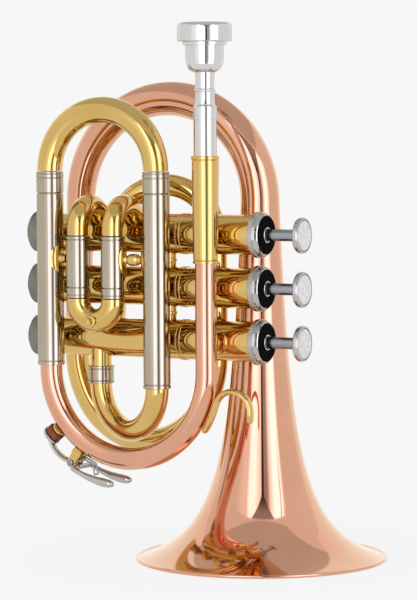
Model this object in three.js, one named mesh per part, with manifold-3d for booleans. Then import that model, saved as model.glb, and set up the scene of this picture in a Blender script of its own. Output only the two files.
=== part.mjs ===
// A pocket trumpet standing on its bell, in millimetres, with +Z up.
// The bell's axis is the line x = 0, y = 0 and its rim lies at z = 0. The valves lie along X with
// their finger buttons at +X, and the loop of the leadpipe and tuning slide is on the -Y side.
import * as THREE from "three";
import { mergeVertices } from "three/addons/utils/BufferGeometryUtils.js";
import Module from "manifold-3d";

const wasm = await Module();
wasm.setup();

// Clearances and walls
const seat_gap = 0.3;
const slide_gap = 0.3;
const tube_wall = 0.6;
const overrun = 2;
const weld_distance = 0.0005;

// How finely round things are faceted
const bell_sides = 20;
const tube_sides = 10;
const casing_sides = 16;
const turned_sides = 14;
const hidden_sides = 8;
const rod_sides = 8;
const bend_sag = 0.45;
const bell_rings = 9;

// Where the three planes of tubing lie
const valve_setback = 25.5;
const loop_setback = 44.5;
const middle_valve_height = 134.05;
const valve_spacing = 25.6;

// Bell: a horn of radius rim * (1 + z / depth) ^ -power, then a tapering tail over the top arch
const bell_rim_radius = 61.5;
const bell_bead_radius = 0.9;
const bell_flare_depth = 13.5;
const bell_flare_power = 0.7;
const bell_stem_height = 174.6;
const bell_arch_width = 100.8;
const bell_leg_length = 72.4;
const bell_leg_splay = 0.04;
const bell_tail_radius = 6.2;
const bell_wall = 0.6;
const bell_ring_spread = 2.2;

// Ferrule that joins the bell's tail to the bottom bow
const bell_ferrule_length = 5.4;
const bell_ferrule_wall = 0.7;
const bell_ferrule_rib = 0.4;
const bell_ferrule_rib_width = 0.9;

// Bottom bow and inner top arch, one tube behind the valves
const bow_tube_radius = 6;
const bow_depth = 44.4;
const bow_lead_radius = 40;
const bow_shoulder_angle = Math.PI / 6;
const bow_right_x = -21.5;
const bow_right_y = -6;
const bow_joint_drop = 3.05;
const arch_end_inset = 6.7;
const arch_end_y = -20.6;
const arch_spring_drop = 1.65;
const arch_end_radius = 5;

// Loop of the leadpipe and the main tuning slide
const leadpipe_x = -6.4;
const loop_width = 85.7;
const crook_drop = 57;
const leadpipe_lap = 19;
const leadpipe_radius = 5;
const leadpipe_end_radius = 5.6;
const leadpipe_seat_depth = 6;

// Mouthpiece receiver
const receiver_lead = 12.45;
const receiver_length = 50.9;
const receiver_foot_radius = 5.9;
const receiver_mouth_radius = 6.5;
const receiver_ring_rise = 0.2;
const receiver_ring_width = 1.6;
const receiver_throat_rise = 6.5;
const receiver_throat_radius = 5.2;

// Mouthpiece
const mouthpiece_reach = 62.8;
const mouthpiece_rim_radius = 13;
const mouthpiece_rim_height = 9.3;
const mouthpiece_rim_round = 2.2;
const mouthpiece_rim_steps = 2;
const mouthpiece_bite_share = 0.25;
const mouthpiece_lip_radius = 10.5;
const mouthpiece_lip_height = 1.6;
const mouthpiece_cup_radius = 9.2;
const mouthpiece_cup_base_drop = 16.5;
const mouthpiece_neck_drop = 23.5;
const mouthpiece_neck_radius = 4.6;
const mouthpiece_ring_drop = 31.9;
const mouthpiece_ring_radius = 5.2;
const mouthpiece_step_drop = 39.3;
const mouthpiece_step_radius = 5.7;
const mouthpiece_step_height = 6.6;
const mouthpiece_bowl_steps = 3;
const shank_mouth_radius = 5.5;
const shank_tip_radius = 4.9;
const shank_depth = 23;
const cup_mouth_radius = 8.6;
const cup_depth = 12;
const cup_throat_radius = 1.9;
const cup_throat_length = 8;
const backbore_end_radius = 4.1;

// Main tuning slide and its two outer sleeves
const sleeve_radius = 6.5;
const left_sleeve_lift = 1.35;
const right_sleeve_overlap = 8.3;
const sleeve_top_rise = 19.45;
const sleeve_ring_width = 2.1;
const sleeve_ring_rise = 0.15;
const right_sleeve_inset = 26.65;
const tuning_ferrule_length = 10.4;
const tuning_ferrule_radius = 6.55;
const tuning_ferrule_ring = 0.15;
const tuning_ferrule_ring_width = 1.1;
const tuning_ferrule_ring_pitch = 2.2;
const tuning_crook_radius = 6.2;
const tuning_leg_length = 72;

// Return crook from the right sleeve to the third valve
const return_end_radius = 5.35;
const return_end_x = -73.65;
const return_end_lead = 2.5;
const return_ferrule_drop = 22.6;
const return_ferrule_length = 8.65;
const return_ferrule_radius = 5.7;
const return_ferrule_rib = 0.2;
const return_ferrule_rib_width = 1.3;

// Valve casings and caps; places along a valve are measured from the bell's axis
const casing_radius = 9.65;
const casing_lower_radius = 9.4;
const casing_bore_radius = 8.7;
const casing_bottom = -110;
const casing_top = 13.9;
const casing_step_x = -38;
const casing_step_width = 2;
const casing_step_rise = 0.45;
const thread_depth = 0.25;
const top_cap_radius = 11;
const top_cap_start = 11;
const top_cap_end = 16.3;
const cap_band_rise = 0.3;
const cap_band_length = 3;
const cap_recess_radius = 9.4;
const cap_recess_depth = 0.9;
const cap_hub_radius = 4.5;
const cap_hub_rise = 0.8;
const bottom_cap_radius = 10.15;
const bottom_cap_end = -112.4;
const bottom_cap_start = -103.9;
const bottom_cap_step = 1.6;
const bottom_cap_plate = 1.4;
const bottom_cap_crown_radius = 8.9;
const bottom_cap_vent_radius = 1.6;

// Pistons, springs, stems and finger buttons
const piston_radius = 8.4;
const piston_foot = -91;
const piston_barrel_floor = -30;
const piston_top = 12;
const piston_top_wall = 1.5;
const piston_barrel_bore = 7;
const piston_port_radius = 5;
const piston_port_places_shares = [0.18, 0.5, 0.82];
const piston_port_turns = [0.9, 2.2, 0.3];
const piston_port_turn_step = 1;
const valve_travel = 15;
const guide_width = 3;
const guide_height = 3;
const spring_coil_radius = 5.9;
const spring_wire_radius = 0.45;
const spring_turns = 6;
const spring_steps_per_turn = 6;
const spring_wire_sides = 3;
const stem_radius = 2.85;
const stem_foot_radius = 4;
const stem_foot_height = 1.3;
const button_underside = 33.6;
const button_radius = 8.5;
const button_height = 2.9;
const button_neck_radius = 4;
const button_neck_rise = 1.4;
const button_rim_wall = 1.1;
const button_well = 1.1;
const pearl_crown = 0.35;
const pearl_crown_share = 0.5;
const felt_thickness = 1.2;

// Knuckle tubes between the casings
const knuckle_radius = 5.3;
const knuckle_x = -38.5;
const knuckle_ring_rise = 0.4;
const knuckle_ring_width = 1.4;

// First valve slide, in front
const first_slide_lead = 2.5;
const first_slide_gap_share = 0.1856;
const first_slide_middle_share = 0.351;
const first_elbow_tube = 4.9;
const first_elbow_radius = 11.2;
const first_elbow_rise = 2.3;
const first_sleeve_radius = 5.25;
const first_sleeve_top_drop = 0.9;
const first_sleeve_length = 24.65;
const first_sleeve_ring = 0.2;
const first_sleeve_ring_width = 1.2;
const first_ferrule_length = 4.9;
const first_leg_depth = 22;
const first_bow_tube = 5.1;
const first_bow_drop = 1;
const pull_knob_radius = 2.35;
const pull_knob_neck = 1.3;
const pull_knob_length = 4.2;

// Second valve slide, behind the middle valve
const second_left_x = -70;
const second_right_x = -44;
const second_sleeve_end = 3;
const second_leg_depth = 15;
const second_bow_start = 10;

// Third valve slide, standing behind the third valve
const third_left_x = -82.9;
const third_right_x = -57.4;
const third_elbow_radius = 12;
const third_elbow_start = -10;
const third_sleeve_rise = 41.55;
const third_leg_depth = 24;
const third_bow_rise = 4;
const hidden_tube = 5.1;
const hidden_sleeve = 5.7;
const hidden_ferrule_length = 4;

// Braces
const brace_drop = 12.05;
const brace_foot_radius = 6.2;
const small_foot_radius = 4.9;
const brace_foot_wall = 0.8;
const brace_rod_radius = 2;
const brace_bead_radius = 2.9;
const brace_bead_share = 0.4;
const brace_bead_slope_share = 0.25;
const casing_foot_radius = 6.4;
const body_brace_radius = 2.2;
const body_brace_foot_radius = 4.2;
const body_brace_foot_height = 1.9;

// Pinky hook: a flat strip in the plane of the loop
const hook_half_thickness = 1.4;
const hook_half_width = 2.6;
const hook_foot_angle = -Math.PI / 5.3;
const hook_leave_angle = -Math.PI / 10.6;
const hook_curl_radius = 9.3;
const hook_curl_angle = 2.85;
const hook_tip_length = 5.6;

// Water key, on the lower left of the leadpipe crook; angles are about the crook's centre
const key_nipple_angle = -2.478;
const key_nipple_radius = 3.4;
const key_nipple_rise = 1.6;
const key_bore_radius = 1.5;
const key_cork_radius = 4.4;
const key_cork_height = 3.2;
const key_cup_radius = 4.9;
const key_cup_height = 2.6;
const key_cup_crown_share = 0.5;
const key_pivot_angle = -2.147;
const key_pivot_rise = 6.4;
const key_screw_radius = 0.9;
const key_screw_head_radius = 1.7;
const key_screw_head = 0.8;
const key_barrel_radius = 2.1;
const key_barrel_half = 2.7;
const key_ear_wall = 1.3;
const key_ear_half_length = 2.2;
const key_saddle_wall = 1.1;
const key_arm_radius = 1.3;
const key_finger_spread = 9;
const key_finger_radius = 1.35;
const key_finger_end_angle = -1.63;
const key_pad_radius = 2.2;
const key_bridge_rise = 6.2;
const key_bridge_lead = 4.2;
const key_spring_wire = 0.4;

const X = new THREE.Vector3(1, 0, 0);
const Y = new THREE.Vector3(0, 1, 0);
const Z = new THREE.Vector3(0, 0, 1);
const back_x = X.clone().negate();
const down = Z.clone().negate();
const at = (x, y, z) => new THREE.Vector3(x, y, z);

// Places that several pieces share
const first_slide_y = -loop_setback - first_slide_lead;
const valve_heights = [1, 0, -1].map((step) => middle_valve_height + step * valve_spacing);
const [first_valve, second_valve, third_valve] = valve_heights;
const crook_radius = loop_width / 2;
const crook_x = leadpipe_x - crook_radius;
const crook_height = third_valve - crook_drop + crook_radius;
const receiver_bottom = middle_valve_height + receiver_lead;
const receiver_top = receiver_bottom + receiver_length;
const leadpipe_top = receiver_bottom + leadpipe_lap;
const sleeve_top = first_valve + sleeve_top_rise;
const left_sleeve_x = leadpipe_x - loop_width;
const right_sleeve_x = leadpipe_x - right_sleeve_inset;
const tuning_width = right_sleeve_x - left_sleeve_x;
const left_sleeve_bottom = crook_height + left_sleeve_lift;
const return_ferrule_bottom = third_valve - return_ferrule_drop;
const return_ferrule_top = return_ferrule_bottom + return_ferrule_length;
const right_sleeve_bottom = return_ferrule_top - right_sleeve_overlap;
const first_slide_room = tuning_width - 2 * sleeve_radius - 4 * first_sleeve_radius;
const first_left_gap = first_slide_gap_share * first_slide_room;
const first_left_x = left_sleeve_x + sleeve_radius + first_sleeve_radius + first_left_gap;
const first_right_x = first_left_x + 2 * first_sleeve_radius + first_slide_middle_share * first_slide_room;
const bow_joint_height = middle_valve_height - bow_joint_drop;
const arch_end_x = first_left_x + arch_end_inset;
const arch_spring_height = first_valve - arch_spring_drop;
const third_sleeve_top = third_valve + third_sleeve_rise;
const brace_height = first_valve - brace_drop;
const crook_outer = crook_radius + leadpipe_end_radius;
const bell_arch_radius = bell_arch_width / 2;

// Materials
const metal = (color, roughness) => new THREE.MeshStandardMaterial({ color, roughness, metalness: 1 });
const rose_brass = () => metal(0xd49a80, 0.16);
const brass = () => metal(0xd8b45a, 0.16);
const nickel = () => metal(0xc6c2b8, 0.2);
const silver = () => metal(0xe4e4e2, 0.1);
const steel = () => metal(0x8a8f96, 0.3);
const plain = (color, roughness) => new THREE.MeshStandardMaterial({ color, roughness, metalness: 0 });
const pearl = () => plain(0xe8e8e0, 0.25);
const felt = () => plain(0x0c0c0e, 0.9);
const cork = () => plain(0x7c4028, 0.8);

// A centre line of straight stretches and bends. A frame travels along it without twisting.
class Route {
  constructor(start, heading, side) {
    this.stretches = [];
    this.length = 0;
    this.end = { point: start.clone(), heading: heading.clone(), side: side.clone() };
  }

  add(length, steps, frameAt) {
    this.stretches.push({ start: this.length, length, steps, frameAt });
    this.length += length;
    this.end = frameAt(length);
    return this;
  }

  straight(length) {
    const { point, heading, side } = this.end;
    return this.add(length, 1, (run) => ({
      point: point.clone().addScaledVector(heading, run),
      heading: heading.clone(),
      side: side.clone(),
    }));
  }

  bend(toward, radius, angle) {
    const { point, heading, side } = this.end;
    const inward = toward.clone().addScaledVector(heading, -toward.dot(heading)).normalize();
    const axis = heading.clone().cross(inward);
    const centre = point.clone().addScaledVector(inward, radius);
    const step_angle = 2 * Math.acos(1 - bend_sag / radius);
    const steps = Math.ceil(angle / step_angle);
    return this.add(radius * angle, steps, (run) => {
      const turn = run / radius;
      return {
        point: point.clone().sub(centre).applyAxisAngle(axis, turn).add(centre),
        heading: heading.clone().applyAxisAngle(axis, turn),
        side: side.clone().applyAxisAngle(axis, turn),
      };
    });
  }

  frameAt(distance) {
    const later = this.stretches.findIndex((s) => distance < s.start + s.length);
    const stretch = this.stretches[later < 0 ? this.stretches.length - 1 : later];
    return stretch.frameAt(distance - stretch.start);
  }

  // The places where a bend needs a ring, between two distances and in that order
  ringsBetween(from, to) {
    const low = Math.max(0, Math.min(from, to)) + weld_distance;
    const high = Math.max(from, to) - weld_distance;
    const places = this.stretches.flatMap((s) =>
      Array.from({ length: s.steps }, (_, step) => s.start + (s.length * step) / s.steps),
    );
    const inside = places.filter((place) => place > low && place < high);
    return from < to ? inside : inside.reverse();
  }
}

// A turned skin along a route. Its profile is a list of [distance, radius], either closed on itself
// or with both ends on the centre line. A width other than 1 flattens the round section.
function swept(route, profile, { sides = tube_sides, closed = true, width = 1 } = {}) {
  const rings = [];
  profile.forEach(([distance, radius], i) => {
    rings.push([distance, radius]);
    const next = profile[i + 1] || (closed ? profile[0] : null);
    if (!next) return;
    for (const place of route.ringsBetween(distance, next[0])) {
      const share = (place - distance) / (next[0] - distance);
      rings.push([place, radius + share * (next[1] - radius)]);
    }
  });
  const positions = [];
  const corners = rings.map(([distance, radius]) => {
    const { point, heading, side } = route.frameAt(distance);
    const across = heading.clone().cross(side);
    const first = positions.length / 3;
    const count = radius === 0 ? 1 : sides;
    for (let k = 0; k < count; k++) {
      const angle = (2 * Math.PI * k) / count;
      const corner = point
        .clone()
        .addScaledVector(side, radius * Math.cos(angle))
        .addScaledVector(across, radius * width * Math.sin(angle));
      positions.push(corner.x, corner.y, corner.z);
    }
    return (k) => first + (k % count);
  });
  const faces = [];
  corners.forEach((here, i) => {
    const next = corners[i + 1] || (closed ? corners[0] : null);
    if (!next) return;
    for (let k = 0; k < sides; k++) {
      faces.push(here(k), here(k + 1), next(k));
      faces.push(here(k + 1), next(k + 1), next(k));
    }
  });
  const geometry = new THREE.BufferGeometry();
  geometry.setAttribute("position", new THREE.Float32BufferAttribute(positions, 3));
  geometry.setIndex(faces);
  return outward(geometry);
}

// Welds shared corners, drops faces that closed up, and turns the skin so that it faces out.
function outward(geometry) {
  const bare = new THREE.BufferGeometry();
  bare.setAttribute("position", geometry.getAttribute("position"));
  if (geometry.index) bare.setIndex(geometry.index);
  const welded = mergeVertices(bare, weld_distance);
  const position = welded.getAttribute("position");
  const index = welded.index.array;
  const faces = [];
  let volume = 0;
  for (let i = 0; i < index.length; i += 3) {
    const [a, b, c] = [index[i], index[i + 1], index[i + 2]];
    if (a === b || b === c || c === a) continue;
    faces.push([a, b, c]);
    const [p, q, r] = [a, b, c].map((k) => new THREE.Vector3().fromBufferAttribute(position, k));
    volume += p.dot(q.cross(r));
  }
  const facing = volume < 0 ? faces.map(([a, b, c]) => [a, c, b]) : faces;
  welded.setIndex(facing.flat());
  return welded;
}

function solid(geometry) {
  const skin = outward(geometry);
  const vertProperties = new Float32Array(skin.getAttribute("position").array);
  const triVerts = new Uint32Array(skin.index.array);
  return new wasm.Manifold(new wasm.Mesh({ numProp: 3, vertProperties, triVerts }));
}

function skinOf(shape) {
  const mesh = shape.getMesh();
  const geometry = new THREE.BufferGeometry();
  geometry.setAttribute("position", new THREE.Float32BufferAttribute(mesh.vertProperties, mesh.numProp));
  geometry.setIndex(Array.from(mesh.triVerts));
  return geometry;
}

const cut = (geometry, ...tools) =>
  skinOf(tools.reduce((shape, tool) => shape.subtract(solid(tool)), solid(geometry)));
const joined = (...pieces) => skinOf(pieces.map(solid).reduce((shape, piece) => shape.add(piece)));
const common = (one, other) => skinOf(solid(one).intersect(solid(other)));

// A hollow tube along a route between two distances, with an even taper and raised rings.
// Each ring is [from, to, rise] in distances along the route.
function tube(route, radius, options = {}) {
  const { from = 0, to = route.length, end_radius = radius, wall = tube_wall } = options;
  const { rings = [], sides = tube_sides } = options;
  const radiusAt = (place) => radius + ((place - from) / (to - from)) * (end_radius - radius);
  const outline = [[from, radiusAt(from)]];
  for (const [start, end, rise] of rings) {
    if (start > from) outline.push([start, radiusAt(start)]);
    else outline.pop();
    outline.push([start, radiusAt(start) + rise], [end, radiusAt(end) + rise]);
    if (end < to) outline.push([end, radiusAt(end)]);
  }
  if (!rings.some(([, end]) => end >= to)) outline.push([to, radiusAt(to)]);
  outline.push([to, radiusAt(to) - wall], [from, radiusAt(from) - wall]);
  return swept(route, outline, { sides });
}

// A solid of revolution along a straight line, from a list of [distance, radius] without its end
// points on the centre line, which are added here.
function turned(start, heading, outline, options = {}) {
  const side = Math.abs(heading.x) > Math.SQRT1_2 ? Z : X;
  const square = side.clone().addScaledVector(heading, -side.dot(heading)).normalize();
  const reach = outline[outline.length - 1][0] - outline[0][0];
  const route = new Route(start, heading, square).straight(Math.abs(reach));
  if (options.closed) return swept(route, outline, options);
  const [first, last] = [outline[0], outline[outline.length - 1]];
  return swept(route, [[first[0], 0], ...outline, [last[0], 0]], { ...options, closed: false });
}

// A plain round bar between two points
function bar(start, end, radius, sides = rod_sides) {
  const along = end.clone().sub(start);
  const length = along.length();
  return turned(start, along.normalize(), [[0, radius], [length, radius]], { sides });
}

function block(low, high) {
  const size = high.clone().sub(low);
  const middle = high.clone().add(low).multiplyScalar(1 / 2);
  return new THREE.BoxGeometry(size.x, size.y, size.z).translate(middle.x, middle.y, middle.z);
}

const quarter_arc = (steps) => Array.from({ length: steps + 1 }, (_, i) => (Math.PI / 2) * (i / steps));

// The corner radius of a faceted bore whose flats clear a round piece by the seat gap
const boreFor = (radius, sides = tube_sides) => (radius + seat_gap) / Math.cos(Math.PI / sides);

// The space that a valve's casing fills, with room for the piece that meets it
function casingRoom(height) {
  const start = at(casing_bottom, -valve_setback, height);
  const end = at(casing_top, -valve_setback, height);
  return bar(start, end, casing_radius + casing_step_rise + seat_gap, casing_sides);
}

const trumpet = new THREE.Group();
function place(name, geometry, material, parent = trumpet) {
  const mesh = new THREE.Mesh(geometry, material);
  mesh.name = name;
  mesh.geometry.computeVertexNormals();
  parent.add(mesh);
  return mesh;
}

// Bell
function bellRadius(height) {
  const rim = bell_rim_radius - bell_bead_radius;
  return rim * (1 + (height - bell_bead_radius) / bell_flare_depth) ** -bell_flare_power;
}

// The bell's centre line. Its leg splays out a little on the way down to the bow.
const bell_route = new Route(at(0, 0, 0), Z, X)
  .straight(bell_stem_height)
  .bend(back_x, bell_arch_radius, Math.PI - bell_leg_splay)
  .straight(bell_leg_length);
const bell_tail = bell_route.end;

function bell() {
  const outer = [];
  const inner = [];
  for (let i = 1; i <= bell_rings; i++) {
    const share = (i / bell_rings) ** bell_ring_spread;
    const height = 2 * bell_bead_radius + share * (bell_stem_height - 2 * bell_bead_radius);
    const radius = bellRadius(height);
    const slope = (-bell_flare_power * radius) / (bell_flare_depth + height - bell_bead_radius);
    const skew = Math.hypot(1, slope);
    outer.push([height, radius]);
    inner.push([height + (bell_wall * slope) / skew, radius - bell_wall / skew]);
  }
  // The rolled bead, an octagon that stands on one of its flats
  const bead_centre = bell_rim_radius - bell_bead_radius;
  const bead_corner = bell_bead_radius / Math.cos(Math.PI / 8);
  const bead = [];
  for (let k = 0; k < 8; k++) {
    const angle = Math.PI * (-9 / 8 + k / 4);
    const level = bell_bead_radius + bead_corner * Math.sin(angle);
    bead.push([level, bead_centre + bead_corner * Math.cos(angle)]);
  }
  const tail = [
    [bell_route.length, bell_tail_radius],
    [bell_route.length, bell_tail_radius - bell_wall],
  ];
  const profile = [...bead.slice(1), ...outer, ...tail, ...inner.reverse(), bead[0]];
  return swept(bell_route, profile, { sides: bell_sides });
}
place("bell", bell(), rose_brass());

function bellJointFerrule() {
  const half = bell_ferrule_length / 2;
  const bore = boreFor(bell_tail_radius);
  const start = bell_tail.point.clone().addScaledVector(bell_tail.heading, -half);
  const route = new Route(start, bell_tail.heading, bell_tail.side).straight(bell_ferrule_length);
  return tube(route, bore + bell_ferrule_wall, {
    wall: bell_ferrule_wall,
    rings: [
      [0, bell_ferrule_rib_width, bell_ferrule_rib],
      [bell_ferrule_length - bell_ferrule_rib_width, bell_ferrule_length, bell_ferrule_rib],
    ],
  });
}
place("bell_joint_ferrule", bellJointFerrule(), nickel());

// The bottom bow leaves the tail, turns upright, and then is a three-centred arch: two wide
// shoulders and a tighter middle
function bowRadii(span, depth, shoulder) {
  const shoulder_share = 2 * (1 - Math.cos(shoulder));
  const middle_share = 2 * Math.cos(shoulder);
  const shoulder_rise = Math.sin(shoulder);
  const middle_rise = 1 - shoulder_rise;
  const determinant = shoulder_share * middle_rise - middle_share * shoulder_rise;
  return {
    shoulder: (span * middle_rise - middle_share * depth) / determinant,
    middle: (shoulder_share * depth - shoulder_rise * span) / determinant,
  };
}

function tailBow() {
  const start = bell_tail.point.clone().addScaledVector(bell_tail.heading, seat_gap);
  const route = new Route(start, bell_tail.heading, bell_tail.side)
    .straight(bell_ferrule_length / 2)
    .bend(X, bow_lead_radius, bell_leg_splay);
  const left = route.end.point;
  const across = at(bow_right_x - left.x, bow_right_y - left.y, 0);
  const radii = bowRadii(across.length(), bow_depth, bow_shoulder_angle);
  route
    .bend(across, radii.shoulder, bow_shoulder_angle)
    .bend(across, radii.middle, Math.PI - 2 * bow_shoulder_angle)
    .bend(Z, radii.shoulder, bow_shoulder_angle)
    .straight(bow_joint_height - left.z);
  return tube(route, bow_tube_radius);
}
place("tail_bow", tailBow(), brass());

function tailArch() {
  const across = at(arch_end_x - bow_right_x, arch_end_y - bow_right_y, 0);
  const side = across.clone().normalize();
  const rise = arch_spring_height - bow_joint_height - seat_gap;
  const route = new Route(at(bow_right_x, bow_right_y, bow_joint_height + seat_gap), Z, side)
    .straight(rise)
    .bend(side, across.length() / 2, Math.PI);
  return cut(tube(route, bow_tube_radius, { end_radius: arch_end_radius }), casingRoom(first_valve));
}
place("tail_arch", tailArch(), brass());

// Leadpipe, down to its crook and up into the left sleeve, with the drain nipple of the water key
const onCrook = (radius, angle, y = -loop_setback) =>
  at(crook_x + radius * Math.cos(angle), y, crook_height + radius * Math.sin(angle));
const outFromCrook = (angle) => at(Math.cos(angle), 0, Math.sin(angle));
const nipple_top = crook_outer + key_nipple_rise;

function leadpipe() {
  const straight = leadpipe_top - crook_height;
  const taper = straight + Math.PI * crook_radius + leadpipe_seat_depth;
  const route = new Route(at(leadpipe_x, -loop_setback, leadpipe_top), down, X)
    .straight(straight)
    .bend(back_x, crook_radius, Math.PI)
    .straight(leadpipe_seat_depth);
  const pipe = tube(route, leadpipe_radius, { end_radius: leadpipe_end_radius, to: taper });
  const out = outFromCrook(key_nipple_angle);
  const nipple = turned(onCrook(crook_outer - 2 * tube_wall, key_nipple_angle), out, [
    [0, key_nipple_radius],
    [key_nipple_rise + 2 * tube_wall, key_nipple_radius],
  ]);
  const drain = bar(
    onCrook(crook_radius, key_nipple_angle),
    onCrook(nipple_top + overrun, key_nipple_angle),
    key_bore_radius,
  );
  const bore = tube(route, leadpipe_radius - tube_wall, {
    end_radius: leadpipe_end_radius - tube_wall,
    wall: leadpipe_radius - 2 * tube_wall,
  });
  return cut(joined(pipe, cut(nipple, bore)), drain);
}
place("leadpipe", leadpipe(), rose_brass());

function mouthpieceReceiver() {
  const length = receiver_length;
  const throat = leadpipe_lap + receiver_throat_rise;
  const mouth_ring = receiver_mouth_radius + receiver_ring_rise;
  const foot_ring = receiver_foot_radius + receiver_ring_rise;
  return turned(
    at(leadpipe_x, -loop_setback, receiver_bottom),
    Z,
    [
      [0, foot_ring],
      [receiver_ring_width, foot_ring],
      [receiver_ring_width, receiver_foot_radius],
      [length - receiver_ring_width, receiver_mouth_radius],
      [length - receiver_ring_width, mouth_ring],
      [length, mouth_ring],
      [length, shank_mouth_radius + seat_gap],
      [throat, receiver_throat_radius],
      [leadpipe_lap + seat_gap, receiver_throat_radius],
      [leadpipe_lap + seat_gap, leadpipe_radius + seat_gap],
      [0, leadpipe_radius + seat_gap],
    ],
    { closed: true },
  );
}
place("mouthpiece_receiver", mouthpieceReceiver(), brass());

function mouthpiece() {
  const length = mouthpiece_reach + shank_depth;
  const level = (drop) => length - drop;
  const cup_edge = cup_mouth_radius + mouthpiece_rim_round;
  const outside = [
    [0, shank_tip_radius],
    [shank_depth, shank_mouth_radius],
    [level(mouthpiece_step_drop + mouthpiece_step_height), shank_mouth_radius],
    [level(mouthpiece_step_drop + mouthpiece_step_height), mouthpiece_step_radius],
    [level(mouthpiece_step_drop), mouthpiece_step_radius],
    [level(mouthpiece_step_drop), mouthpiece_neck_radius],
    [level(mouthpiece_ring_drop + receiver_ring_width / 2), mouthpiece_neck_radius],
    [level(mouthpiece_ring_drop), mouthpiece_ring_radius],
    [level(mouthpiece_ring_drop - receiver_ring_width / 2), mouthpiece_neck_radius],
    [level(mouthpiece_neck_drop), mouthpiece_neck_radius],
  ];
  const belly_height = mouthpiece_neck_drop - mouthpiece_cup_base_drop;
  for (const angle of quarter_arc(mouthpiece_bowl_steps).slice(1)) {
    const swell = (mouthpiece_cup_radius - mouthpiece_neck_radius) * Math.sin(angle);
    outside.push([
      level(mouthpiece_cup_base_drop + belly_height * Math.cos(angle)),
      mouthpiece_neck_radius + swell,
    ]);
  }
  outside.push(
    [level(mouthpiece_rim_height + mouthpiece_lip_height), mouthpiece_cup_radius],
    [level(mouthpiece_rim_height + mouthpiece_lip_height), mouthpiece_lip_radius],
    [level(mouthpiece_rim_height), mouthpiece_lip_radius],
    [level(mouthpiece_rim_height), mouthpiece_rim_radius],
    [level(mouthpiece_rim_round), mouthpiece_rim_radius],
  );
  for (const angle of quarter_arc(mouthpiece_rim_steps).slice(1)) {
    const inset = mouthpiece_rim_round * (1 - Math.cos(angle));
    outside.push([
      level(mouthpiece_rim_round * (1 - Math.sin(angle))),
      mouthpiece_rim_radius - inset,
    ]);
  }
  const inside = [
    [length, cup_edge],
    [level(mouthpiece_rim_round / 2), cup_mouth_radius + mouthpiece_bite_share * mouthpiece_rim_round],
  ];
  for (const angle of quarter_arc(mouthpiece_bowl_steps)) {
    inside.push([
      level(mouthpiece_rim_round + cup_depth * Math.sin(angle)),
      cup_throat_radius + (cup_mouth_radius - cup_throat_radius) * Math.cos(angle),
    ]);
  }
  inside.push(
    [level(mouthpiece_rim_round + cup_depth + cup_throat_length), cup_throat_radius],
    [0, backbore_end_radius],
  );
  return turned(at(leadpipe_x, -loop_setback, receiver_top - shank_depth), Z, [...outside, ...inside], {
    closed: true,
    sides: turned_sides,
  });
}
place("mouthpiece", mouthpiece(), silver());

// Main tuning slide
function slideSleeve(x, bottom) {
  const length = sleeve_top - bottom;
  const route = new Route(at(x, -loop_setback, bottom), Z, X).straight(length);
  return tube(route, sleeve_radius, { rings: [[0, sleeve_ring_width, sleeve_ring_rise]] });
}
place("left_slide_sleeve", slideSleeve(left_sleeve_x, left_sleeve_bottom), nickel());
place("right_slide_sleeve", slideSleeve(right_sleeve_x, right_sleeve_bottom), nickel());

const tuning_ferrule_bottom = sleeve_top + seat_gap;
const tuning_ferrule_top = tuning_ferrule_bottom + tuning_ferrule_length;
const tuning_leg_radius = sleeve_radius - tube_wall - slide_gap;

function tuningLeg(x) {
  const bottom = tuning_ferrule_bottom - tuning_leg_length;
  const top = tuning_leg_length + tuning_ferrule_length;
  const route = new Route(at(x, -loop_setback, bottom), Z, X).straight(top);
  const step = tuning_leg_length;
  const ring = tuning_ferrule_radius + tuning_ferrule_ring;
  const seat = top - tuning_ferrule_ring_pitch - tuning_ferrule_ring_width;
  const seat_radius = tuning_crook_radius - seat_gap / 2;
  const bore = tuning_leg_radius - tube_wall;
  return swept(route, [
    [0, tuning_leg_radius],
    [step, tuning_leg_radius],
    [step, tuning_ferrule_radius],
    [seat, tuning_ferrule_radius],
    [seat, ring],
    [seat + tuning_ferrule_ring_width, ring],
    [seat + tuning_ferrule_ring_width, tuning_ferrule_radius],
    [top - tuning_ferrule_ring_width, tuning_ferrule_radius],
    [top - tuning_ferrule_ring_width, ring],
    [top, ring],
    [top, seat_radius],
    [top, bore],
    [0, bore],
  ]);
}
place("tuning_leg_left", tuningLeg(left_sleeve_x), nickel());
place("tuning_leg_right", tuningLeg(right_sleeve_x), nickel());

function tuningCrook() {
  const route = new Route(at(left_sleeve_x, -loop_setback, tuning_ferrule_top + seat_gap), Z, X).bend(
    X,
    tuning_width / 2,
    Math.PI,
  );
  return tube(route, tuning_crook_radius);
}
place("tuning_crook", tuningCrook(), brass());

// Return crook, its ferrule and the inlet of the third valve
const return_end_y = -valve_setback - return_end_lead;
const return_across = at(return_end_x - right_sleeve_x, return_end_y + loop_setback, 0);

function returnCrook() {
  const side = return_across.clone().normalize();
  const seat = at(right_sleeve_x, -loop_setback, right_sleeve_bottom + sleeve_ring_width);
  const bore = sleeve_radius - tube_wall - seat_gap;
  const route = new Route(seat, down, side)
    .straight(sleeve_ring_width)
    .bend(side, return_across.length() / 2, Math.PI)
    .straight(return_ferrule_bottom + return_ferrule_length / 2 - right_sleeve_bottom);
  return tube(route, bore, { end_radius: return_end_radius });
}
place("return_crook", returnCrook(), brass());

function returnFerrule() {
  const side = return_across.clone().normalize();
  const foot = at(return_end_x, return_end_y, return_ferrule_bottom);
  const route = new Route(foot, Z, side).straight(return_ferrule_length);
  const wall = return_ferrule_radius + tube_wall - return_end_radius - seat_gap;
  const top = return_ferrule_length;
  return tube(route, return_ferrule_radius + tube_wall, {
    wall,
    rings: [
      [0, return_ferrule_rib_width, return_ferrule_rib],
      [top - return_ferrule_rib_width, top, return_ferrule_rib],
    ],
  });
}
place("return_ferrule", returnFerrule(), nickel());

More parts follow.
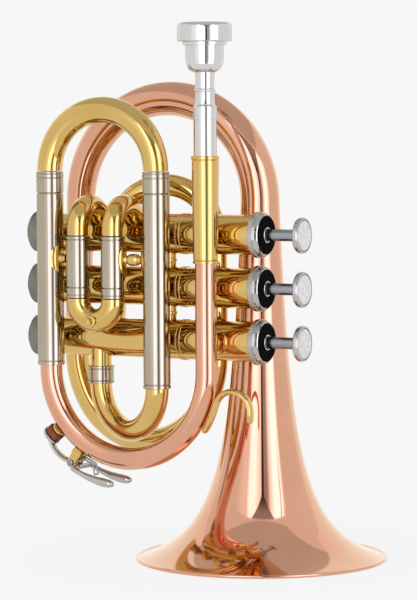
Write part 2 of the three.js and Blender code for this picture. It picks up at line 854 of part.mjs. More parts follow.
function thirdValveInlet() {
  const bottom = return_ferrule_bottom + return_ferrule_length / 2 + seat_gap;
  const route = new Route(at(return_end_x, return_end_y, bottom), Z, X).straight(third_valve - bottom);
  return cut(tube(route, return_end_radius), casingRoom(third_valve));
}
place("third_valve_inlet", thirdValveInlet(), brass());

// Valves. Each is built standing on its own axis and laid down along X.
// In the standing valve, local Z is the trumpet's X, and local -X points up.
const valve_base = at(0, 0, 0);
const along_valve = (outline, options) => turned(valve_base, Z, outline, options);

function casing(number) {
  const threads = thread_depth + seat_gap;
  const shell = along_valve(
    [
      [casing_bottom, casing_lower_radius - threads],
      [bottom_cap_start + seat_gap, casing_lower_radius - threads],
      [bottom_cap_start + seat_gap, casing_lower_radius],
      [casing_step_x, casing_lower_radius],
      [casing_step_x, casing_radius + casing_step_rise],
      [casing_step_x + casing_step_width, casing_radius + casing_step_rise],
      [casing_step_x + casing_step_width, casing_radius],
      [top_cap_start - seat_gap, casing_radius],
      [top_cap_start - seat_gap, casing_radius - threads],
      [casing_top, casing_radius - threads],
    ],
    { sides: casing_sides },
  );
  const bore = along_valve(
    [[casing_bottom - overrun, casing_bore_radius], [casing_top + overrun, casing_bore_radius]],
    { sides: casing_sides },
  );
  // The bar that the piston's spring stands on crosses the bore and guides the slotted barrel
  const guide = block(
    at(-guide_width / 2, -casing_bore_radius - tube_wall, piston_barrel_floor + seat_gap),
    at(guide_width / 2, casing_bore_radius + tube_wall, piston_barrel_floor + seat_gap + guide_height),
  );
  const tubes = [];
  if (number === 2) tubes.push(...secondSlideSleeves());
  if (number === 3) tubes.push(...thirdSlideSleeves());
  const tubing = tubes.map(({ route, radius, rings }) => tube(route, radius, { rings, sides: hidden_sides }));
  const passages = tubes.map(({ route, radius }) => boreAlong(route, radius - tube_wall));
  const body = tubing.length ? joined(shell, ...tubing) : shell;
  return joined(cut(body, bore, ...passages), guide);
}

function boreAlong(route, radius) {
  const outline = [[0, 0], [0, radius], [route.length, radius], [route.length, 0]];
  return swept(route, outline, { closed: false, sides: hidden_sides });
}

// Sleeves for the two slides behind, brazed to their casings. A place is given as in the trumpet,
// and turned into the standing valve's own directions.
const standing = (x, y, z, height) => at(height - z, y + valve_setback, x);

function secondSlideSleeves() {
  return [second_left_x, second_right_x].map((x) => {
    const start = standing(x, -valve_setback, second_valve, second_valve);
    const length = valve_setback + second_sleeve_end;
    const route = new Route(start, Y, X).straight(length);
    const rings = [[length - hidden_ferrule_length, length, knuckle_ring_rise]];
    return { route, radius: hidden_sleeve, rings };
  });
}

function thirdSlideSleeves() {
  return [third_left_x, third_right_x].map((x) => {
    const start = standing(x, -valve_setback, third_valve, third_valve);
    const lead = valve_setback + third_elbow_start;
    const rise = third_sleeve_top - third_valve - third_elbow_radius;
    const route = new Route(start, Y, X).straight(lead).bend(back_x, third_elbow_radius, Math.PI / 2);
    route.straight(rise);
    const top = route.length;
    const rings = [[top - hidden_ferrule_length, top, knuckle_ring_rise]];
    return { route, radius: hidden_sleeve, rings };
  });
}

function topCap() {
  const bore = casing_radius;
  const plate_bottom = casing_top + seat_gap;
  const hub_top = top_cap_end + cap_hub_rise;
  const recess = top_cap_end - cap_recess_depth;
  const stem_bore = stem_radius + seat_gap;
  const band_end = top_cap_start + cap_band_length;
  const outline = [
    [top_cap_start, top_cap_radius],
    [band_end, top_cap_radius],
    [band_end, top_cap_radius - cap_band_rise],
    [top_cap_end, top_cap_radius - cap_band_rise],
    [top_cap_end, cap_recess_radius],
    [recess, cap_recess_radius],
    [recess, cap_hub_radius],
    [hub_top, cap_hub_radius],
    [hub_top, stem_bore],
    [plate_bottom, stem_bore],
    [plate_bottom, bore],
    [top_cap_start, bore],
  ];
  return along_valve(outline, { closed: true, sides: turned_sides });
}

function bottomCap() {
  const bore = casing_lower_radius;
  const step = bottom_cap_end + bottom_cap_step;
  const outline = [
    [bottom_cap_end, bottom_cap_vent_radius],
    [bottom_cap_end, bottom_cap_crown_radius - bottom_cap_plate],
    [bottom_cap_end + bottom_cap_plate, bottom_cap_crown_radius],
    [step, bottom_cap_crown_radius],
    [step, bottom_cap_radius],
    [bottom_cap_start, bottom_cap_radius],
    [bottom_cap_start, bore],
    [bottom_cap_end + bottom_cap_plate + seat_gap, bore],
    [bottom_cap_end + bottom_cap_plate + seat_gap, bottom_cap_vent_radius],
  ];
  return along_valve(outline, { closed: true, sides: turned_sides });
}

function capFelt() {
  const floor = top_cap_end - cap_recess_depth + seat_gap;
  return along_valve(
    [
      [floor, cap_recess_radius - seat_gap],
      [floor + felt_thickness, cap_recess_radius - seat_gap],
      [floor + felt_thickness, cap_hub_radius + seat_gap],
      [floor, cap_hub_radius + seat_gap],
    ],
    { closed: true, sides: turned_sides },
  );
}

function piston(number) {
  const body = along_valve(
    [[piston_foot, piston_radius], [piston_top, piston_radius]],
    { sides: turned_sides },
  );
  const barrel = along_valve(
    [[piston_barrel_floor, piston_barrel_bore], [piston_top - piston_top_wall, piston_barrel_bore]],
    { sides: tube_sides },
  );
  const half = guide_width / 2 + seat_gap;
  const slot = block(
    at(-half, -piston_radius - overrun, piston_barrel_floor),
    at(half, piston_radius + overrun, piston_barrel_floor + guide_height + valve_travel + 2 * seat_gap),
  );
  const ported = piston_barrel_floor - piston_foot;
  const ports = piston_port_places_shares.map((share, i) => {
    const turn = piston_port_turns[i] + number * piston_port_turn_step;
    const out = at(Math.cos(turn), Math.sin(turn), 0).multiplyScalar(piston_radius + overrun);
    const middle = at(0, 0, piston_foot + share * ported);
    return bar(middle.clone().sub(out), middle.clone().add(out), piston_port_radius);
  });
  return cut(body, barrel, slot, ...ports);
}

function pistonSpring() {
  const foot = piston_barrel_floor + guide_height + 2 * seat_gap + spring_wire_radius;
  const head = piston_top - piston_top_wall - seat_gap - spring_wire_radius;
  const steps = spring_turns * spring_steps_per_turn;
  const positions = [];
  for (let i = 0; i <= steps; i++) {
    const turn = (2 * Math.PI * i) / spring_steps_per_turn;
    const height = foot + ((head - foot) * i) / steps;
    for (let k = 0; k < spring_wire_sides; k++) {
      const around = (2 * Math.PI * k) / spring_wire_sides;
      const radius = spring_coil_radius + spring_wire_radius * Math.cos(around);
      const lift = height + spring_wire_radius * Math.sin(around);
      positions.push(radius * Math.cos(turn), radius * Math.sin(turn), lift);
    }
  }
  const faces = [];
  for (let i = 0; i < steps; i++) {
    for (let k = 0; k < spring_wire_sides; k++) {
      const next = (k + 1) % spring_wire_sides;
      const [a, b] = [i * spring_wire_sides + k, i * spring_wire_sides + next];
      faces.push(a, a + spring_wire_sides, b, b, a + spring_wire_sides, b + spring_wire_sides);
    }
  }
  const last = steps * spring_wire_sides;
  for (let k = 1; k < spring_wire_sides - 1; k++) {
    faces.push(0, k, k + 1, last, last + k + 1, last + k);
  }
  const geometry = new THREE.BufferGeometry();
  geometry.setAttribute("position", new THREE.Float32BufferAttribute(positions, 3));
  geometry.setIndex(faces);
  return outward(geometry);
}

const button_top = button_underside + button_height;
function fingerButton() {
  const foot = piston_top + seat_gap;
  const neck = button_underside - button_neck_rise;
  return along_valve(
    [
      [foot, stem_foot_radius],
      [foot + stem_foot_height, stem_foot_radius],
      [foot + stem_foot_height, stem_radius],
      [neck, stem_radius],
      [button_underside, button_neck_radius],
      [button_underside, button_radius],
      [button_top, button_radius],
      [button_top, button_radius - button_rim_wall],
      [button_top - button_well, button_radius - button_rim_wall],
    ],
    { sides: turned_sides },
  );
}

function buttonPearl() {
  const floor = button_top - button_well + seat_gap;
  const radius = button_radius - button_rim_wall - seat_gap;
  return along_valve(
    [
      [floor, radius],
      [button_top, radius],
      [button_top + pearl_crown, pearl_crown_share * radius],
    ],
    { sides: turned_sides },
  );
}

valve_heights.forEach((height, i) => {
  const number = i + 1;
  const valve = new THREE.Group();
  valve.position.set(0, -valve_setback, height);
  valve.rotation.y = Math.PI / 2;
  trumpet.add(valve);
  place("valve_casing_" + number, casing(number), brass(), valve);
  place("top_cap_" + number, topCap(), nickel(), valve);
  place("bottom_cap_" + number, bottomCap(), nickel(), valve);
  place("cap_felt_" + number, capFelt(), felt(), valve);
  place("piston_" + number, piston(number), nickel(), valve);
  place("piston_spring_" + number, pistonSpring(), steel(), valve);
  place("finger_button_" + number, fingerButton(), nickel(), valve);
  place("button_pearl_" + number, buttonPearl(), pearl(), valve);
});

function knuckle(upper, lower) {
  const length = upper - lower;
  const route = new Route(at(knuckle_x, -valve_setback, lower), Z, X).straight(length);
  const middle = length / 2;
  const rings = [[middle - knuckle_ring_width / 2, middle + knuckle_ring_width / 2, knuckle_ring_rise]];
  return cut(tube(route, knuckle_radius, { rings }), casingRoom(upper), casingRoom(lower));
}
place("knuckle_1_2", knuckle(first_valve, second_valve), brass());
place("knuckle_2_3", knuckle(second_valve, third_valve), brass());

// First valve slide
const first_sleeve_top = first_valve - first_sleeve_top_drop;
const first_sleeve_bottom = first_sleeve_top - first_sleeve_length;
const first_leg_radius = first_sleeve_radius - tube_wall - slide_gap;
const first_ferrule_bottom = first_sleeve_bottom - seat_gap - first_ferrule_length;

function firstElbow(x) {
  const start = first_sleeve_top + seat_gap;
  const route = new Route(at(x, first_slide_y, start), Z, X)
    .straight(first_valve + first_elbow_rise - start)
    .bend(Y, first_elbow_radius, Math.PI);
  return cut(tube(route, first_elbow_tube), casingRoom(first_valve));
}

function firstSleeve(x) {
  const route = new Route(at(x, first_slide_y, first_sleeve_bottom), Z, X).straight(first_sleeve_length);
  const ring_start = first_sleeve_length - first_sleeve_ring_width;
  return tube(route, first_sleeve_radius, { rings: [[ring_start, first_sleeve_length, first_sleeve_ring]] });
}

function firstLeg(x) {
  const length = seat_gap + first_ferrule_length + first_leg_depth;
  const route = new Route(at(x, first_slide_y, first_ferrule_bottom), Z, X).straight(length);
  const bore = first_leg_radius - tube_wall;
  return swept(route, [
    [0, first_sleeve_radius],
    [first_ferrule_length, first_sleeve_radius],
    [first_ferrule_length, first_leg_radius],
    [length, first_leg_radius],
    [length, bore],
    [0, bore],
  ]);
}

function pullKnob(start, heading) {
  return turned(start, heading, [
    [0, pull_knob_neck],
    [pull_knob_length / 2, pull_knob_neck],
    [pull_knob_length / 2, pull_knob_radius],
    [pull_knob_length, pull_knob_radius],
  ], { sides: rod_sides });
}

function firstBow() {
  const top = first_ferrule_bottom - seat_gap;
  const width = first_right_x - first_left_x;
  const route = new Route(at(first_left_x, first_slide_y, top), down, X)
    .straight(first_bow_drop)
    .bend(X, width / 2, Math.PI)
    .straight(first_bow_drop);
  const bow = tube(route, first_bow_tube);
  const bottom = top - first_bow_drop - width / 2;
  const front = first_slide_y - first_bow_tube + tube_wall / 2;
  const knob = pullKnob(at((first_left_x + first_right_x) / 2, front, bottom), Y.clone().negate());
  return joined(bow, knob);
}
place("first_slide_elbow_left", firstElbow(first_left_x), brass());
place("first_slide_elbow_right", firstElbow(first_right_x), brass());
place("first_slide_sleeve_left", firstSleeve(first_left_x), nickel());
place("first_slide_sleeve_right", firstSleeve(first_right_x), nickel());
place("first_slide_leg_left", firstLeg(first_left_x), nickel());
place("first_slide_leg_right", firstLeg(first_right_x), nickel());
place("first_slide_bow", firstBow(), brass());

// A slide behind the valves: two legs in their sleeves, the bow that joins them, and its knob
const hidden_leg_radius = hidden_sleeve - tube_wall - slide_gap;
function hiddenSlide(start, heading, across, depth, mouth, rise) {
  const width = across.length();
  const side = across.clone().normalize();
  const route = new Route(start, heading, side)
    .straight(depth + mouth + rise)
    .bend(side, width / 2, Math.PI)
    .straight(depth + mouth + rise);
  const end = route.length;
  const step = depth + mouth;
  const bow = swept(route, [
    [0, hidden_leg_radius],
    [step, hidden_leg_radius],
    [step, hidden_tube],
    [end - step, hidden_tube],
    [end - step, hidden_leg_radius],
    [end, hidden_leg_radius],
    [end, hidden_leg_radius - tube_wall],
    [0, hidden_leg_radius - tube_wall],
  ], { sides: hidden_sides });
  const crown = start
    .clone()
    .addScaledVector(side, width / 2)
    .addScaledVector(heading, step + rise + width / 2 + hidden_tube - tube_wall / 2);
  return joined(bow, pullKnob(crown, heading));
}

function secondSlide() {
  const start = at(second_left_x, second_sleeve_end - second_leg_depth, second_valve);
  const across = at(second_right_x - second_left_x, 0, 0);
  const rise = second_bow_start - second_sleeve_end - seat_gap;
  return hiddenSlide(start, Y, across, second_leg_depth, seat_gap, rise);
}
place("second_slide", secondSlide(), brass());

function thirdSlide() {
  const start = at(third_left_x, third_elbow_start + third_elbow_radius, third_sleeve_top - third_leg_depth);
  const across = at(third_right_x - third_left_x, 0, 0);
  return hiddenSlide(start, Z, across, third_leg_depth, seat_gap, third_bow_rise);
}
place("third_slide", thirdSlide(), brass());

// Braces. A foot is a round patch of a shell that hugs the tube it is soldered to.
function braceFoot(middle, along, radius, heading, foot_radius) {
  const inner = radius + seat_gap;
  const reach = foot_radius + overrun;
  const low = middle.clone().addScaledVector(along, -reach);
  const route = new Route(low, along, heading).straight(2 * reach);
  const shell = tube(route, inner + brace_foot_wall, { wall: brace_foot_wall, sides: casing_sides });
  const tip = middle.clone().addScaledVector(heading, inner + brace_foot_wall + overrun);
  return common(shell, bar(middle, tip, foot_radius, tube_sides));
}

const brace_left_end = at(left_sleeve_x, -loop_setback, brace_height);
const brace_right_end = at(right_sleeve_x, -loop_setback, brace_height);

function braceLeft() {
  const slide = at(first_left_x, first_slide_y, brace_height);
  const across = slide.clone().sub(brace_left_end);
  const heading = across.clone().normalize();
  const foot = braceFoot(brace_left_end, Z, sleeve_radius, heading, brace_foot_radius);
  const start = sleeve_radius + seat_gap + brace_foot_wall / 2;
  const end = across.length() - first_sleeve_radius - seat_gap;
  const rod = bar(
    brace_left_end.clone().addScaledVector(heading, start),
    brace_left_end.clone().addScaledVector(heading, end),
    brace_rod_radius,
  );
  return joined(foot, rod);
}

function braceRight() {
  const slide = at(first_right_x, first_slide_y, brace_height);
  const across = brace_right_end.clone().sub(slide);
  const heading = across.clone().normalize();
  const left = braceFoot(slide, Z, first_sleeve_radius, heading, small_foot_radius);
  const back = heading.clone().negate();
  const right = braceFoot(brace_right_end, Z, sleeve_radius, back, brace_foot_radius);
  const start = first_sleeve_radius + seat_gap + brace_foot_wall / 2;
  const length = across.length() - start - sleeve_radius - seat_gap - brace_foot_wall / 2;
  const bead_length = brace_bead_share * length;
  const bead_start = (length - bead_length) / 2;
  const bead_slope = brace_bead_slope_share * bead_length;
  const rod = turned(slide.clone().addScaledVector(heading, start), heading, [
    [0, brace_rod_radius],
    [bead_start, brace_rod_radius],
    [bead_start + bead_slope, brace_bead_radius],
    [bead_start + bead_length - bead_slope, brace_bead_radius],
    [bead_start + bead_length, brace_rod_radius],
    [length, brace_rod_radius],
  ]);
  return joined(left, rod, right);
}
place("brace_left", braceLeft(), brass());
place("brace_right", braceRight(), brass());

// The post between the bell and a casing has a round foot at each end, and the two tubes that it
// ties cut their seats into the feet.
function bellBrace() {
  const stem_radius_here = bellRadius(second_valve);
  const stem_low = at(0, 0, second_valve - casing_radius);
  const stem_high = at(0, 0, second_valve + casing_radius);
  const stem = bar(stem_low, stem_high, stem_radius_here + seat_gap, bell_sides);
  const sink = body_brace_foot_height / 2;
  const start_y = -valve_setback + casing_radius + casing_step_rise - sink;
  const length = -stem_radius_here + sink - start_y;
  const post = turned(at(0, start_y, second_valve), Y, [
    [0, body_brace_foot_radius],
    [body_brace_foot_height, body_brace_foot_radius],
    [body_brace_foot_height, body_brace_radius],
    [length - body_brace_foot_height, body_brace_radius],
    [length - body_brace_foot_height, body_brace_foot_radius],
    [length, body_brace_foot_radius],
  ]);
  return cut(post, casingRoom(second_valve), stem);
}
place("bell_brace", bellBrace(), brass());

// The leadpipe's post ends on a wide round foot that hugs the third casing
function leadpipeBrace() {
  const middle = at(leadpipe_x, -valve_setback, third_valve);
  const foot = braceFoot(middle, X, casing_radius, Y.clone().negate(), casing_foot_radius);
  const start_y = -loop_setback + leadpipe_end_radius - body_brace_foot_height / 2;
  const length = -valve_setback - casing_radius - seat_gap - brace_foot_wall / 2 - start_y;
  const post = turned(at(leadpipe_x, start_y, third_valve), Y, [
    [0, body_brace_foot_radius],
    [body_brace_foot_height, body_brace_foot_radius],
    [body_brace_foot_height, body_brace_radius],
    [length, body_brace_radius],
  ]);
  const pipe_top = at(leadpipe_x, -loop_setback, leadpipe_top);
  const pipe = bar(at(leadpipe_x, -loop_setback, crook_height), pipe_top, leadpipe_end_radius, tube_sides);
  return joined(foot, cut(post, pipe));
}
place("leadpipe_brace", leadpipeBrace(), brass());

// Pinky hook
function pinkyHook() {
  const reach = crook_outer + seat_gap + hook_half_thickness;
  const start = onCrook(reach, hook_foot_angle);
  const out = outFromCrook(hook_foot_angle);
  const heading = at(-out.z, 0, out.x);
  const route = new Route(start, heading, out)
    .bend(out.clone().negate(), reach, hook_leave_angle - hook_foot_angle)
    .bend(X, hook_curl_radius, hook_curl_angle)
    .straight(hook_tip_length);
  const outline = [[0, 0], [0, hook_half_thickness], [route.length, hook_half_thickness], [route.length, 0]];
  const width = hook_half_width / hook_half_thickness;
  return swept(route, outline, { closed: false, sides: rod_sides, width });
}
place("pinky_hook", pinkyHook(), brass());

// Water key
const key_pivot_reach = crook_outer + key_pivot_rise;
const key_pivot = onCrook(key_pivot_reach, key_pivot_angle);
const cork_bottom = nipple_top + seat_gap;
const cup_bottom = cork_bottom + key_cork_height + seat_gap;

function keyCork() {
  const out = outFromCrook(key_nipple_angle);
  return turned(onCrook(cork_bottom, key_nipple_angle), out, [
    [0, key_cork_radius],
    [key_cork_height, key_cork_radius],
  ]);
}
place("water_key_cork", keyCork(), cork());

function waterKey() {
  const y_low = -loop_setback - key_barrel_half;
  const y_high = -loop_setback + key_barrel_half;
  const barrel_start = at(key_pivot.x, y_low, key_pivot.z);
  const barrel_end = at(key_pivot.x, y_high, key_pivot.z);
  const barrel = bar(barrel_start, barrel_end, key_barrel_radius);
  const cup = turned(onCrook(cup_bottom, key_nipple_angle), outFromCrook(key_nipple_angle), [
    [0, key_cup_radius],
    [key_cup_height / 2, key_cup_radius],
    [key_cup_height, key_cup_crown_share * key_cup_radius],
  ]);
  const cup_crown = onCrook(cup_bottom + key_cup_height, key_nipple_angle);
  const arm = bar(cup_crown, key_pivot, key_arm_radius);
  const bridge_reach = crook_outer + key_bridge_rise;
  const bridge_angle = key_pivot_angle + key_bridge_lead / bridge_reach;
  const [near_y, far_y] = [-1, 1].map((hand) => -loop_setback + hand * key_finger_spread);
  const bridge_at = (y) => onCrook(bridge_reach, bridge_angle, y);
  const bridge = bar(bridge_at(near_y), bridge_at(far_y), key_finger_radius);
  const neck = bar(key_pivot, bridge_at(-loop_setback), key_arm_radius);
  const fingers = [near_y, far_y].map((y) => {
    const heading = at(-Math.sin(bridge_angle), 0, Math.cos(bridge_angle));
    const inward = outFromCrook(bridge_angle).negate();
    const route = new Route(bridge_at(y), heading, inward).bend(
      inward,
      bridge_reach,
      key_finger_end_angle - bridge_angle,
    );
    const outline = [
      [0, 0],
      [0, key_finger_radius],
      [route.length / 2, key_finger_radius],
      [route.length, key_pad_radius],
      [route.length, 0],
    ];
    return swept(route, outline, { closed: false, sides: rod_sides });
  });
  const hole_start = at(key_pivot.x, y_low - overrun, key_pivot.z);
  const hole_end = at(key_pivot.x, y_high + overrun, key_pivot.z);
  const hole = bar(hole_start, hole_end, key_screw_radius + seat_gap);
  return cut(joined(barrel, cup, arm, neck, bridge, ...fingers), hole);
}
place("water_key", waterKey(), nickel());

// The saddle wraps the crook and carries the hinge between two ears
function keySaddle() {
  const out = outFromCrook(key_pivot_angle);
  const along = at(-out.z, 0, out.x);
  const ear_inner = key_barrel_half + seat_gap;
  const ear_outer = ear_inner + key_ear_wall;
  const box = (low_out, high_out, low_y, high_y) => {
    const shape = new THREE.BoxGeometry(high_out - low_out, high_y - low_y, 2 * key_ear_half_length);
    const middle = (low_out + high_out) / 2;
    const basis = new THREE.Matrix4().makeBasis(out, Y, along.clone().negate());
    shape.translate(middle, (low_y + high_y) / 2, 0).applyMatrix4(basis);
    return shape.translate(crook_x, -loop_setback, crook_height);
  };
  const base_low = crook_radius + leadpipe_radius / 2;
  const base_high = crook_outer + seat_gap + key_saddle_wall;
  const ear_top = key_pivot_reach + key_barrel_radius;
  const base = box(base_low, base_high, -ear_outer, ear_outer);
  const ears = [-1, 1].map((hand) => {
    const [a, b] = [hand * ear_inner, hand * ear_outer];
    return box(base_low, ear_top, Math.min(a, b), Math.max(a, b));
  });
  const start = onCrook(crook_radius, key_pivot_angle).addScaledVector(along, -2 * key_ear_half_length);
  const end = onCrook(crook_radius, key_pivot_angle).addScaledVector(along, 2 * key_ear_half_length);
  const pipe = bar(start, end, leadpipe_end_radius + seat_gap, tube_sides);
  const pin_start = at(key_pivot.x, -loop_setback - ear_outer - overrun, key_pivot.z);
  const pin_end = at(key_pivot.x, -loop_setback + ear_outer + overrun, key_pivot.z);
  const pin = bar(pin_start, pin_end, key_screw_radius + seat_gap);
  return cut(joined(base, ...ears), pipe, pin);
}
place("water_key_saddle", keySaddle(), brass());

function keyScrew() {
  const ear_outer = key_barrel_half + seat_gap + key_ear_wall;
  const start = at(key_pivot.x, -loop_setback - ear_outer - seat_gap - key_screw_head, key_pivot.z);
  const length = 2 * (ear_outer + seat_gap) + key_screw_head;
  return turned(start, Y, [
    [0, key_screw_head_radius],
    [key_screw_head, key_screw_head_radius],
    [key_screw_head, key_screw_radius],
    [length, key_screw_radius],
  ], { sides: rod_sides });
}
place("water_key_screw", keyScrew(), steel());

// The wire spring lies between the saddle and the key's bridge
function keySpring() {
  const wire_reach = crook_outer + seat_gap + key_saddle_wall + seat_gap + key_spring_wire;
  const start = onCrook(wire_reach, key_pivot_angle);
  const out = outFromCrook(key_pivot_angle);
  const end = onCrook(key_pivot_reach - key_barrel_radius - seat_gap - key_spring_wire, key_pivot_angle);
  const along = at(-out.z, 0, out.x);
  const tip = end.clone().addScaledVector(along, key_ear_half_length);
  return bar(start, tip, key_spring_wire, spring_wire_sides);
}
place("water_key_spring", keySpring(), steel());

// The origin is the middle of the base that the whole trumpet stands over.
const extent = new THREE.Box3().setFromObject(trumpet, true);
const centre = extent.getCenter(new THREE.Vector3());
trumpet.position.set(-centre.x, -centre.y, -extent.min.z);

export default trumpet;
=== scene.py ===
from math import asin, ceil, cos, hypot, pi, radians, sin

import bmesh
import bpy
import numpy as np
from mathutils import Matrix, Vector


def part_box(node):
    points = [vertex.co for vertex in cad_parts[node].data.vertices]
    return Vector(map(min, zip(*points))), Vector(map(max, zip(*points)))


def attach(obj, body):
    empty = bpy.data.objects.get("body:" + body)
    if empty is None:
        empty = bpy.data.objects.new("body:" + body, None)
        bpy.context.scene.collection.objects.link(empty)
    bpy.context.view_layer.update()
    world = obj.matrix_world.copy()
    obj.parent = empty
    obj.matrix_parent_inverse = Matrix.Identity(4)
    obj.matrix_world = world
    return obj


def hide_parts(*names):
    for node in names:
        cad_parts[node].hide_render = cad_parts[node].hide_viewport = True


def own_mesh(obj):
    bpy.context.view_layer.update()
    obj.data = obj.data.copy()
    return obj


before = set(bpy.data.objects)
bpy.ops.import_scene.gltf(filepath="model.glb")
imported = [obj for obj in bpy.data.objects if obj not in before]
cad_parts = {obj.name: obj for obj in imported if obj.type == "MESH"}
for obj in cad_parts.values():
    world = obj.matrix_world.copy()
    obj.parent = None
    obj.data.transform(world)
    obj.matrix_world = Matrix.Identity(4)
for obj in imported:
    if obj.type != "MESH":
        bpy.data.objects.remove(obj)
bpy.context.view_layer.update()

# A pocket trumpet that stands on its bell. Lengths here are in millimetres from the bell's axis,
# with +Z up, +X towards the finger buttons and -Y towards the loop of the leadpipe; the pieces
# are made in metres in the frame's own place.
mm = 0.001
X, Y, Z = Vector((1, 0, 0)), Vector((0, 1, 0)), Vector((0, 0, 1))

# Walls, seats and the planes of tubing
tube_wall = 0.6
seat_gap = 0.3
valve_y = -25.5
loop_y = -44.5
middle_valve = 134.05
valve_spacing = 25.6
valve_heights = [middle_valve + step * valve_spacing for step in (1, 0, -1)]
first_valve, second_valve, third_valve = valve_heights

# Bell
bell_rim_radius = 61.5
bell_bead_radius = 0.9
bell_flare_start = 1.3
bell_flare_depth = 13.5
bell_flare_power = 0.7
bell_stem_height = 174.6
bell_arch_radius = 50.4
bell_leg_length = 72.4
bell_leg_splay = 0.04
bell_tail_radius = 6.2

# Loop of the leadpipe and the main tuning slide
leadpipe_x = -6.4
loop_width = 85.7
crook_radius = loop_width / 2
crook_x = leadpipe_x - crook_radius
crook_height = 94.3
leadpipe_top = 165.5
leadpipe_radius = 5
leadpipe_end_radius = 5.6
crook_outer = crook_radius + leadpipe_end_radius
left_sleeve_x = leadpipe_x - loop_width
right_sleeve_x = leadpipe_x - 26.65
left_sleeve_bottom = 95.65
right_sleeve_bottom = 86.2
sleeve_radius = 6.5
sleeve_top = 179.1
tuning_crook_height = 190.1

# Casings, and the tubes that are soldered into them
casing_radius = 9.65
saddle_radius = 9.15
knuckle_x = -38.5

# First valve slide
first_slide_y = -47
first_left, first_right = -75.0, -55.55
first_radius, first_elbow_radius, first_bow_radius = 5.85, 5.45, 5.7

# Slides behind the casings: where their tubes stand, and where the sleeves end
second_left, second_right = -70, -44
second_sleeve_end = 3
third_left, third_right = -82.9, -57.4
third_sleeve_y, third_sleeve_top = 2, 150
third_bend_radius = 12

bell_low, bell_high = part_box("bell")
bell_axis = Vector((bell_high.x - bell_rim_radius * mm, (bell_low.y + bell_high.y) / 2, 0))


def there(point):
    """A point in millimetres from the bell's axis, in the frame's metres."""
    return Vector(point) * mm + bell_axis


class Route:
    """A tube's centre line: straight stretches and bends, with a frame that travels along it."""

    def __init__(self, start, heading, side):
        self.stretches = []
        self.length = 0.0
        self.end = (Vector(start), Vector(heading).normalized(), Vector(side).normalized())

    def add(self, length, rings, frame_at):
        self.stretches.append((self.length, length, rings, frame_at))
        self.length += length
        self.end = frame_at(length)
        return self

    def straight(self, length):
        point, heading, side = self.end
        return self.add(length, 1, lambda run: (point + heading * run, heading, side))

    def bend(self, toward, radius, angle, bend_step=radians(3)):
        point, heading, side = self.end
        inward = (Vector(toward) - heading * heading.dot(toward)).normalized()
        axis = heading.cross(inward)
        centre = point + inward * radius

        def frame_at(run):
            turn = Matrix.Rotation(run / radius, 3, axis)
            return centre + turn @ (point - centre), turn @ heading, turn @ side

        return self.add(radius * angle, max(2, ceil(angle / bend_step)), frame_at)

    def frame_at(self, distance):
        for start, length, _, frame_at in self.stretches:
            if distance < start + length:
                break
        return frame_at(distance - start)

    def rings_between(self, start, end):
        places = [s + length * k / rings for s, length, rings, _ in self.stretches for k in range(rings)]
        low, high = sorted((start, end))
        inside = [p for p in places if p > max(low, 0) + mm and p < high - mm]
        return inside if start < end else inside[::-1]

    def point_at(self, distance, angle, radius, width=1.0):
        point, heading, side = self.frame_at(distance)
        across = heading.cross(side)
        return point + side * (radius * cos(angle)) + across * (radius * width * sin(angle))


class Saddle:
    """Cuts a tube's ends to the round of the casings that it is soldered into."""

    def __init__(self, route, free, *heights):
        self.route, self.free, self.heights, self.known = route, free, heights, {}

    def buried(self, distance, angle, radius):
        point = self.route.point_at(distance, angle, radius)
        reach = [hypot(point.y - valve_y, point.z - height) for height in self.heights]
        return min(reach) < saddle_radius

    def limit(self, end, angle, radius):
        key = (end, round(angle, 6), round(radius, 6))
        if key not in self.known:
            clear, steps, halvings = self.free, 60, 18
            for k in range(1, steps + 1):
                ahead = self.free + (end - self.free) * k / steps
                if self.buried(ahead, angle, radius):
                    for _ in range(halvings):
                        middle = (clear + ahead) / 2
                        if self.buried(middle, angle, radius):
                            ahead = middle
                        else:
                            clear = middle
                    break
                clear = ahead
            self.known[key] = clear
        return self.known[key]

    def trim(self, distance, angle, radius):
        end = self.route.length if distance > self.free else 0
        limit = self.limit(end, angle, radius)
        return min(distance, limit) if distance > self.free else max(distance, limit)


def eased(outline, ease=0.12, closed=False, steps=3):
    """Breaks the sharp corners of an outline as polishing does, and holds the flats beside them."""
    points = [np.array(p, float) for p in outline]
    out = []
    for i, corner in enumerate(points):
        if not closed and i in (0, len(points) - 1):
            out.append(corner)
            continue
        to_before = points[i - 1] - corner
        to_after = points[(i + 1) % len(points)] - corner
        before, after = np.linalg.norm(to_before), np.linalg.norm(to_after)
        turn = to_before[0] * to_after[1] - to_before[1] * to_after[0]
        reach = min(ease, 0.3 * before, 0.3 * after)
        if reach < 1e-4 or abs(turn) < 0.05 * before * after:
            out.append(corner)
            continue
        from_side, to_side = to_before / before * reach, to_after / after * reach
        out.append(corner + 1.5 * from_side)
        for k in range(steps + 1):
            t = k / steps
            out.append(corner + (1 - t) ** 2 * from_side + t * t * to_side)
        out.append(corner + 1.5 * to_side)
    return [tuple(p) for p in out]


